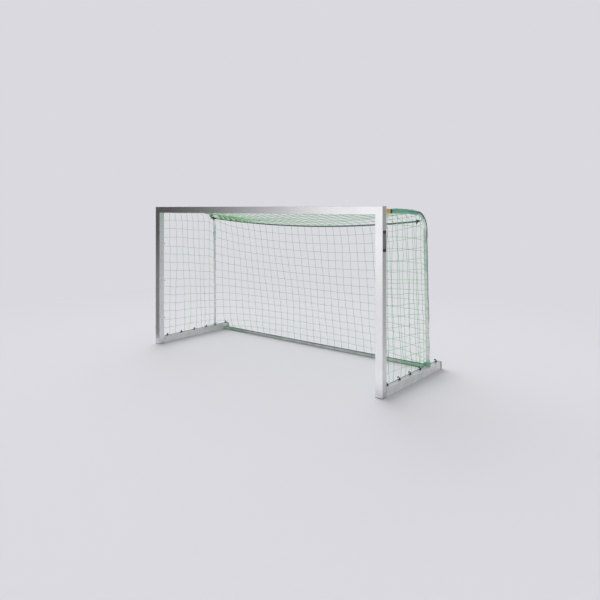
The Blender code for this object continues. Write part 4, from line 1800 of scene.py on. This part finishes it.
    def side_top(self, side: Side) -> Edge:
        """Return the top edge of a side, under the arm and into the bend.

        Args:
            side: The goal's side.

        Returns:
            The edge.
        """
        line = [(side * SIZES.hem_x, SIZES.hem_y, self.front_rows[-1])]
        line += [(side * BRACKET.arm_x, y, BRACKET.arm_height(y) - self.edge_gap)
                 for y in np.linspace(SIZES.hem_y, BRACKET.arm_end_y, 12)[1:]]
        line += [(side * BRACKET.arm_x, *BRACKET.on_bend(share, self.edge_gap))
                 for share in (0.1, 0.2, 0.3, 0.4, 0.5)]
        return Edge.through(line)

    def side_rear(self, side: Side) -> Edge:
        """Return the rear edge of a side, from the ground bar up before the upright and into the bend.

        Args:
            side: The goal's side.

        Returns:
            The edge.
        """
        places = [BRACKET.on_bend(share, self.edge_gap) for share in (0.5, 0.6, 0.7, 0.8, 0.9, 1.0)]
        places += [(BRACKET.upright_at(z)[1] - self.edge_gap, z) for z in np.linspace(1.38, 0.16, 14)]
        line = [(side * (BRACKET.arm_x if z > 1.43 else BRACKET.upright_at(z)[0] - 0.004), y, z) for y, z in places]
        line.append((side * self.foot_hem_x, self.foot_columns[-1], SIZES.hem_z))
        line.reverse()
        return Edge.through(line, self.sunk_shares(line))

    def side_hem(self, side: Side, panel: NetPanel) -> None:
        """Run a side's edge cord down its front and along the ground bar, bound at the hooks.

        Args:
            side: The goal's side.
            panel: The side's panel.
        """
        hem = CordMesh(8)
        fine = even(HEM_STEPS)
        hem.string(panel.surface(0 * fine, fine), self.hem_radius)
        low = [tuple(place) for place in panel.surface(np.linspace(0, 1, 40), np.zeros(40))]
        low += [(side * x, y, SIZES.hem_z) for x, y in self.hem_end]
        hem.string(respace(np.array(low), 0.012), self.hem_radius)
        for joint in frame["joints"]:
            if joint["child"].startswith(f"{side.word}_bar_hook"):
                for step in (-0.017, -0.013, -0.009, 0.009, 0.013, 0.017):
                    hem.loop((joint["pos_m"][0], joint["pos_m"][1] + step, SIZES.hem_z), (0, 1, 0), 0.0036, 0.0022)
        hem.build(f"{side.word}_side_net_hem", HEM_GREEN)

    @staticmethod
    def sunk_shares(points: Points) -> Array:
        """Return shares along the upright that let the rows fall a little to the rear.

        Args:
            points: The edge's points.

        Returns:
            A share for each.
        """
        run = run_lengths(np.asarray(points, float))
        share = run / run[-1]
        return share + 0.055 * np.sin(math.pi * np.clip(share, 0, 1)) ** 0.8

    def arm_wrap(self, side: Side) -> None:
        """Wind the net's surplus round the arm, thicker on top, thinning out towards the bend.

        Args:
            side: The goal's side.
        """
        line = respace(BRACKET.line(side, start=self.wrap_start)[:BRACKET.arm_points], 0.01)
        share = np.linspace(0, 1, len(line))
        line[:, 2] += 0.0035 * np.clip(share * 12, 0, 1) * np.clip((1 - share) * 5, 0, 1)
        wrap = CordMesh(5)
        for number in range(7):
            for reach, pitch, phase in ((0.0030, 0.1, 0.0), (0.0052, -0.1, 0.05)):
                wrap.string(coil_round(line, SIZES.bracket_radius + reach, pitch, number / 7 + phase, 16),
                            self.strand_radius)
        fine = respace(line, 0.1)
        tangents = np.gradient(fine, axis=0)
        for place, tangent in zip(fine[1:-1], tangents[1:-1]):
            wrap.loop(place, tangent, SIZES.bracket_radius + 0.0072, self.turn_radius)
        wrap.build(f"{side.word}_arm_wrap", BUNCH_GREEN)

    def bend_cords(self, side: Side) -> None:
        """Lay the edge cords along the outer side of the bend, from the wrap to the upright.

        Args:
            side: The goal's side.
        """
        cords = CordMesh(6)
        line = BRACKET.line(side, start=-0.03)
        line = line[line[:, 2] > 1.36]
        outward = np.cross(np.gradient(line, axis=0), (-1.0, 0, 0))
        outward /= np.linalg.norm(outward, axis=1)[:, None]
        across = np.array((1.0, 0, 0))
        reach = SIZES.bracket_radius + self.hem_radius + 0.0002
        rim = np.arctan(1.19 * outward[:, 1])
        # Six cords lie side by side, each further to the right, the last ones shorter.
        for number, end in enumerate((1.0, 1.0, 1.0, 0.9, 0.8, 0.7)):
            angle = rim + np.radians(-6 + 17.5 * number + 4 * np.sin(np.linspace(number, 9 + number, len(line))))
            path = line + reach * (np.cos(angle)[:, None] * outward + np.sin(angle)[:, None] * across)
            cords.string(path[:int(len(path) * end * (0.75 if side < 0 else 1))], self.hem_radius)
        if side < 0:
            for share in (0.40, 0.44, 0.48, 0.60):
                near, far = (np.array((side * BRACKET.arm_x, *BRACKET.on_bend(share + step)))
                             for step in (-0.02, 0.02))
                cords.loop((near + far) / 2, far - near, SIZES.bracket_radius + 0.0075, 0.0026)
            # The rope's left end is bound in close turns.
            for x in np.arange(-1.502, -1.435, 0.006):
                near, far = ROPE.at(np.array([x - 0.002, x + 0.002]))
                cords.loop((near + far) / 2, far - near, 0.0085, 0.0029)
        cords.build(f"{side.word}_bend_cords", HEM_GREEN)

    def upright_lacing(self, side: Side) -> None:
        """Lace the net to the upright with cords along it and loops round it.

        Args:
            side: The goal's side.
        """
        lacing, edge = CordMesh(6), CordMesh(6)
        cords = ((lacing, UprightCord(0.0009, 200, 0.94, -105)),)
        if side > 0:
            cords = ((lacing, UprightCord(0.0014, 220, 0.0, 0)), (edge, UprightCord(0.0020, -8, 0.66, 72)))
        for mesh, cord in cords:
            mesh.string(cord.line(side), cord.radius)
        for z in np.arange(0.17, 1.42, 0.0965):
            x, y = BRACKET.upright_at(z)
            lacing.loop((side * x, y, z), (0.15 * side, 0.1, 1), SIZES.bracket_radius + 0.0030,
                        0.0014 if side > 0 or z > 0.92 else 0.0009)
        lacing.build(f"{side.word}_upright_lacing", NET_GREEN)
        if edge.count:
            edge.build(f"{side.word}_upright_edge", HEM_GREEN)

    def upright_strands(self, side: Side) -> None:
        """Wind loose strands round the top of the upright, and on the right round the bend too.

        Args:
            side: The goal's side.
        """
        loose = CordMesh(5)
        reach = SIZES.bracket_radius + 0.0018
        count, low = (7, 1.02) if side > 0 else (3, 1.25)
        places = np.array([(side * BRACKET.upright_at(z)[0], BRACKET.upright_at(z)[1], z)
                           for z in np.linspace(1.425, low, 24)])
        for number in range(count):
            loose.string(coil_round(places, reach, 0.31, number / count, 14), 0.0014)
        if side > 0:
            bend = respace(BRACKET.line(side, start=self.wrap_start)[BRACKET.arm_points - 1:], 0.01)[:18]
            for number in range(8):
                loose.string(coil_round(bend, reach, 0.16, number / 8, 14), 0.0015)
        loose.build(f"{side.word}_upright_strands", MINT_GREEN)

    def corner_gather(self, side: Side) -> None:
        """Gather the surplus of the lower rear corner along the bar and round the foot.

        Args:
            side: The goal's side.
        """
        rng = np.random.default_rng(11 + side)
        strands, swell = (11, 0.012) if side > 0 else (2, 0.002)
        gather, pale = CordMesh(5), CordMesh(5)
        spine = smooth_line([(side * 1.524, 0.205, 0.086), (side * 1.515, 0.27, 0.094), (side * 1.511, 0.33, 0.100),
                             (side * 1.512, 0.385, 0.098), (side * 1.514, 0.45, 0.080),
                             (side * 1.516, 0.515, 0.050)], 40)
        width = swell * np.sin(math.pi * np.linspace(0.06, 0.94, len(spine)))
        first, second = frames_along(spine)
        for number in range(strands):
            turn = rng.uniform(0, 2 * math.pi)
            spin = rng.uniform(-2.2, 2.2)
            reach = rng.uniform(0.35, 1.0)
            angle = turn + spin * np.linspace(0, math.pi, len(spine))
            sway = reach * width * (1 + 0.25 * np.sin(np.linspace(0, rng.uniform(8, 15), len(spine)) + turn))
            bunch = gather if number % 2 else pale
            bunch.string(spine + sway[:, None] * (np.cos(angle)[:, None] * first
                                                  + np.sin(angle)[:, None] * second), self.strand_radius)
        if side > 0:
            self.foot_wrap(pale, side)
        pale.build(f"{side.word}_corner_strands", MINT_GREEN)
        x, y = BRACKET.upright_at(0.13)
        for lift in (0.112, 0.124, 0.137) if side > 0 else ():
            gather.loop((side * x, y, lift), (0.2 * side, 0.25, 1), SIZES.bracket_radius + 0.0045, self.turn_radius)
        gather.build(f"{side.word}_corner_gather", BUNCH_GREEN)

    def foot_wrap(self, gather: CordMesh, side: Side) -> None:
        """Wind cord round the bracket's foot, over its socket.

        Args:
            gather: The mesh that takes the cords.
            side: The goal's side.
        """
        foot = np.array([(side * BRACKET.foot_x, BRACKET.foot_y, z) for z in np.linspace(0.080, 0.112, 12)])
        for number in range(3):
            gather.string(coil_round(foot, 0.0228, 0.011, number / 3, 14), self.strand_radius)

    def roof_gather(self) -> None:
        """Bunch the roof's rear left edge over the rope, with dark turns of cord at the meshes."""
        rng = np.random.default_rng(23)
        gather, turns = CordMesh(5), CordMesh(6)
        for number in range(self.gather_strands):
            end = -0.95 + 0.05 * (number % 5)
            x = np.linspace(self.gather_x, end, 60)
            hump = np.sin(math.pi * (x - self.gather_x) / (end - self.gather_x)) ** 0.45
            lift = 0.060 * (number + 0.6) / self.gather_strands
            line = ROPE.at(x) + np.array([0, -0.0063, 0])
            line[:, 1] -= hump * (0.004 + lift)
            line[:, 2] += hump * (0.003 + lift + 0.003 * np.sin(x * 40 + rng.uniform(0, 6)))
            gather.string(line, 0.0015)
        spin = np.linspace(0, 6 * math.pi, 84)
        for x, size in ((-1.325, 0.95), (-1.250, 0.85), (-1.165, 0.90), (-1.065, 0.75)):
            line, far = ROPE.at(x + 0.0007 * spin), 0.062 * size
            reach, width = 0.5 * (far + 0.004) * np.cos(spin), 0.005 * np.sin(spin)
            line[:, 1] += 0.0015 - 0.5 * far - reach + width
            line[:, 2] += -0.001 + 0.5 * far + reach + width
            turns.string(line, 0.0020)
        gather.build("roof_gather", LOOSE_GREEN)
        turns.build("roof_gather_turns", HEM_GREEN)

    def tube_lacing(self) -> None:
        """Lace the back to the rear tube: hem cords along its top, wound over closely near both ends."""
        lacing, hems = CordMesh(5), CordMesh(6)
        tube = SIZES.rear_tube_radius
        middle = np.array((0, SIZES.rear_tube_y, tube))
        reach, radius = tube + self.hem_radius, tube + self.lace_radius + 2 * self.hem_radius
        along = np.linspace(-1.505, 1.505, 240)
        for number, lean in enumerate((-14, 18)):
            angle = np.radians(lean + 5 * np.sin(along * (7 + 2 * number) + number))
            hems.string(middle + np.stack([along, -reach * np.sin(angle), reach * np.cos(angle)], axis=1),
                        self.hem_radius)
        hems.build("tube_hem", HEM_GREEN)
        for place in np.linspace(-1.1, 1.1, 23):
            lacing.loop(middle + (place, 0, 0), (1, 0.12, 0.05), radius, self.lace_radius, floor=True)
        for outer, inner in ((-1.405, -1.13), (1.515, 1.16)):
            line = respace(np.array([middle + (outer, 0, 0), middle + (inner, 0, 0)]), 0.01)
            for phase in (0.0, 0.5):
                winding = coil_round(line, radius, 0.034, phase, 14)
                winding[:, 2] = np.maximum(winding[:, 2], self.lace_radius)
                lacing.string(winding, self.lace_radius)
        lacing.build("tube_lacing", BUNCH_GREEN)

    def rope_lacing(self) -> None:
        """Lace the roof and the back to the rope, one loop for each mesh."""
        lacing = CordMesh(5)
        line = ROPE.at(np.linspace(-self.half_width, self.half_width, self.columns + 1))
        for place, tangent in zip(line, np.gradient(line, axis=0)):
            lacing.loop(place, tangent + np.array([0, 0.1, 0.2]), 0.0098, 0.0016)
        lacing.build("rope_lacing", NET_GREEN)


# The studio


class Reach(Enum):
    """What a lamp lights, as the state that links the floor to it."""

    ALL_BUT_FLOOR = "EXCLUDE"
    FLOOR_ALONE = "INCLUDE"


class Axis(IntEnum):
    """The way that a card runs."""

    X = 0
    Y = 1


@dataclass
class Studio:
    """Camera at the photograph's place, pale floor, even sky and soft light."""

    background: Colour = (0.701, 0.694, 0.737)
    floor_colour: Colour = (0.737, 0.730, 0.775)
    floor_radius: float = 60.0
    fade_start: float = 2.6
    fade_end: float = 5.5
    sky_strength: float = 0.475
    sun_strength: float = 1.1
    floor_sun_strength: float = 2.4
    low_sun_strength: float = 0.4
    low_sun_spread: float = 26.0
    sun_spread: float = 64.0
    sun_from: tuple[float, float, float] = (-0.83, 0.45, 0.40)
    strip_strength: float = 3.6
    strip_height: float = 0.25
    strip_width: float = 0.10
    strip_from: tuple[float, float, float] = (-0.848, 0.53, 0.0)
    eye: tuple[float, float, float] = (4.0177, -4.9134, 1.6577)
    heading: float = 0.6996
    lens: float = 33.69
    shift: tuple[float, float] = (0.0361, -0.1531)

    def build(self) -> None:
        """Set the camera, the floor, the sky, the lamps and the cards."""
        self.camera()
        self.floor()
        self.sky()
        self.lamps()
        self.front_card()
        self.side_card()
        bpy.context.scene.view_settings.view_transform = "Standard"

    def camera(self) -> None:
        """Place the camera."""
        data = bpy.data.cameras.new("camera")
        data.sensor_width = 36.0
        data.lens = self.lens
        data.shift_x, data.shift_y = self.shift
        data.clip_end = 200.0
        camera = bpy.data.objects.new("camera", data)
        camera.location = self.eye
        camera.rotation_euler = (math.pi / 2, 0, self.heading)
        bpy.context.scene.collection.objects.link(camera)
        bpy.context.scene.camera = camera

    def floor(self) -> None:
        """Lay the floor, whose lit colour runs into the background away from the goal."""
        Bench.clear()
        bpy.ops.mesh.primitive_circle_add(vertices=96, radius=self.floor_radius, fill_type="NGON", location=(0, 0, 0))
        floor = bpy.context.object
        floor.name = "studio_floor"
        graph = Graph("studio_floor")
        graph.finish(self.floor_colour, 0.9, specular_ior_level=0.0)
        glow = graph.add("Emission", {"Color": self.background, "Strength": 1.0})
        flat = graph.place((1, 1, 0))
        reach = graph.add("VectorMath", {0: flat}, operation="LENGTH").outputs["Value"]
        blend = graph.spread(reach, self.fade_start, self.fade_end, 0.0, 1.0)
        mixed = graph.add("MixShader", {0: blend, 1: graph.shader.outputs[0], 2: glow.outputs[0]})
        graph.feed(graph.tree.nodes["Material Output"].inputs["Surface"], mixed.outputs[0])
        floor.data.materials.append(graph.material)

    def sky(self) -> None:
        """Light the scene from a dome with a long low strip of light, and show the plain background."""
        world = bpy.data.worlds.new("studio_sky")
        bpy.context.scene.world = world
        graph = Graph("studio_sky", world)
        graph.tree.nodes.clear()
        path = graph.add("LightPath").outputs
        seen = graph.math("MAXIMUM", path["Is Camera Ray"],
                          graph.math("MAXIMUM", path["Is Glossy Ray"], path["Is Transmission Ray"]))
        direction = graph.add("TexCoord").outputs["Generated"]
        height = graph.add("SeparateXYZ", {0: direction}).outputs["Z"]
        off = graph.math("DIVIDE", graph.math("SUBTRACT", height, self.strip_height), self.strip_width)
        band = graph.math("EXPONENT", graph.math("MULTIPLY", graph.math("MULTIPLY", off, off), -1.0))
        toward = graph.add("VectorMath", {0: direction, 1: self.strip_from}, operation="DOT_PRODUCT")
        share = graph.math("MULTIPLY", band, graph.spread(toward.outputs["Value"], -0.3, 1.0, 0.0, 1.0))
        strength = graph.math("ADD", graph.math("MULTIPLY", share, self.strip_strength), self.sky_strength)
        light = graph.add("Background", {"Color": WHITE, "Strength": strength})
        show = graph.add("Background", {"Color": self.background, "Strength": 1.0})
        mixed = graph.add("MixShader", {0: seen, 1: light.outputs[0], 2: show.outputs[0]})
        graph.add("OutputWorld", {"Surface": mixed.outputs[0]})

    def lamps(self) -> None:
        """Light the goal softly from the upper left and rear, and the floor more strongly and also lower."""
        self.lamp("goal_lamp", self.sun_strength, self.sun_spread, self.sun_from, Reach.ALL_BUT_FLOOR)
        self.lamp("floor_lamp", self.floor_sun_strength, self.sun_spread, self.sun_from, Reach.FLOOR_ALONE)
        level = Vector((*self.strip_from[:2], self.strip_height))
        for number, turn in enumerate((-40.0, 0.0, 40.0)):
            self.lamp(f"floor_low_lamp_{number}", self.low_sun_strength, self.low_sun_spread,
                      Matrix.Rotation(math.radians(turn), 3, "Z") @ level, Reach.FLOOR_ALONE)

    @staticmethod
    def lamp(name: str, strength: float, spread: float, place: Point, reach: Reach) -> None:
        """Add one soft sun.

        Args:
            name: The lamp's name.
            strength: Its strength.
            spread: Its angle across, in degrees.
            place: The direction it shines from.
            reach: What it lights.
        """
        data = bpy.data.lights.new(name, "SUN")
        data.energy = strength
        data.angle = math.radians(spread)
        lamp = bpy.data.objects.new(name, data)
        lamp.location = tuple(4 * part for part in place)
        lamp.rotation_euler = Vector(place).to_track_quat("Z", "Y").to_euler()
        lamp.visible_glossy = False
        bpy.context.scene.collection.objects.link(lamp)
        linked = bpy.data.collections.new(name + "_reach")
        linked.objects.link(bpy.data.objects["studio_floor"])
        linked.collection_objects[0].light_linking.link_state = reach.value
        lamp.light_linking.receiver_collection = linked

    def front_card(self) -> None:
        """Stand the card that the frame's front faces mirror, dark at the left and bright at the right."""
        high = ((-2.6, 0.056), (-1.82, 0.060), (-1.53, 0.070), (-0.98, 0.152), (-0.48, 0.305), (-0.02, 0.480),
                (0.39, 0.70), (0.77, 0.92), (1.23, 1.085), (2.6, 1.11))
        middle = ((-2.6, 0.158), (-1.82, 0.163), (-0.48, 0.42), (0.39, 0.70), (1.23, 0.89), (2.6, 0.90))
        low = ((-2.6, 0.205), (-1.82, 0.205), (-0.98, 0.38), (-0.48, 0.46), (-0.02, 0.55), (0.39, 0.68),
               (0.77, 0.82), (1.23, 0.93), (2.6, 0.95))
        self.card("front_card", ((-2.6, -0.8, 0.004), (2.6, -0.8, 2.8)), Axis.X,
                  ((0.1, low), (0.8, middle), (1.4, high)))

    def side_card(self) -> None:
        """Stand the card that the faces turned to the right mirror."""
        high = ((-0.9, 0.31), (0.7, 0.32), (1.6, 0.43), (2.4, 0.48), (3.6, 0.48))
        low = ((-0.9, 0.47), (0.7, 0.475), (1.6, 0.50), (2.4, 0.52), (3.6, 0.52))
        self.card("side_card", ((2.3, -0.9, 0.004), (2.3, 3.6, 3.0)), Axis.Y, ((0.0, low), (1.3, high)))

    @staticmethod
    def card(name: str, corners: Points, axis: Axis, rows: Sequence[tuple[float, Stops]]) -> None:
        """Stand one upright card that only shiny surfaces see.

        Args:
            name: The card's name.
            corners: Two opposite corners.
            axis: The way that it runs.
            rows: Heights from low to high, each with places along the card and their brightness.
        """
        near, far = (Vector(corner) for corner in corners)
        Bench.clear()
        turn = (math.pi / 2, 0, math.pi / 2 * axis)
        bpy.ops.mesh.primitive_plane_add(size=1, location=(near + far) / 2, rotation=turn)
        card = bpy.context.object
        card.name = name
        card.scale = (far[axis] - near[axis], far[2] - near[2], 1)
        Bench.settle(card)
        graph = Graph(name)
        axes = graph.add("SeparateXYZ", {0: graph.place()}).outputs
        tone = graph.ramp(axes[axis], rows[0][1])
        for (below, _), (above, stops) in zip(rows, rows[1:]):
            tone = graph.mix(graph.spread(axes[2], below, above, 0.0, 1.0), tone,
                             graph.ramp(axes[axis], stops))
        glow = graph.add("Emission", {"Color": tone, "Strength": 1.0})
        graph.feed(graph.tree.nodes["Material Output"].inputs["Surface"], glow.outputs[0])
        card.data.materials.append(graph.material)
        card.visible_camera = card.visible_diffuse = card.visible_shadow = False
        card.visible_transmission = card.visible_volume_scatter = False


def main() -> None:
    """Build the studio and every piece of the goal, in order."""
    logging.basicConfig(level=logging.INFO, format="%(name)s: %(message)s")
    for part in (Studio(), AluminiumFrame(), Plugs(), Brackets(), NetHooks(), ROPE, Net()):
        LOG.info("building %s", type(part).__name__)
        part.build()


if __name__ == "__main__":
    main()
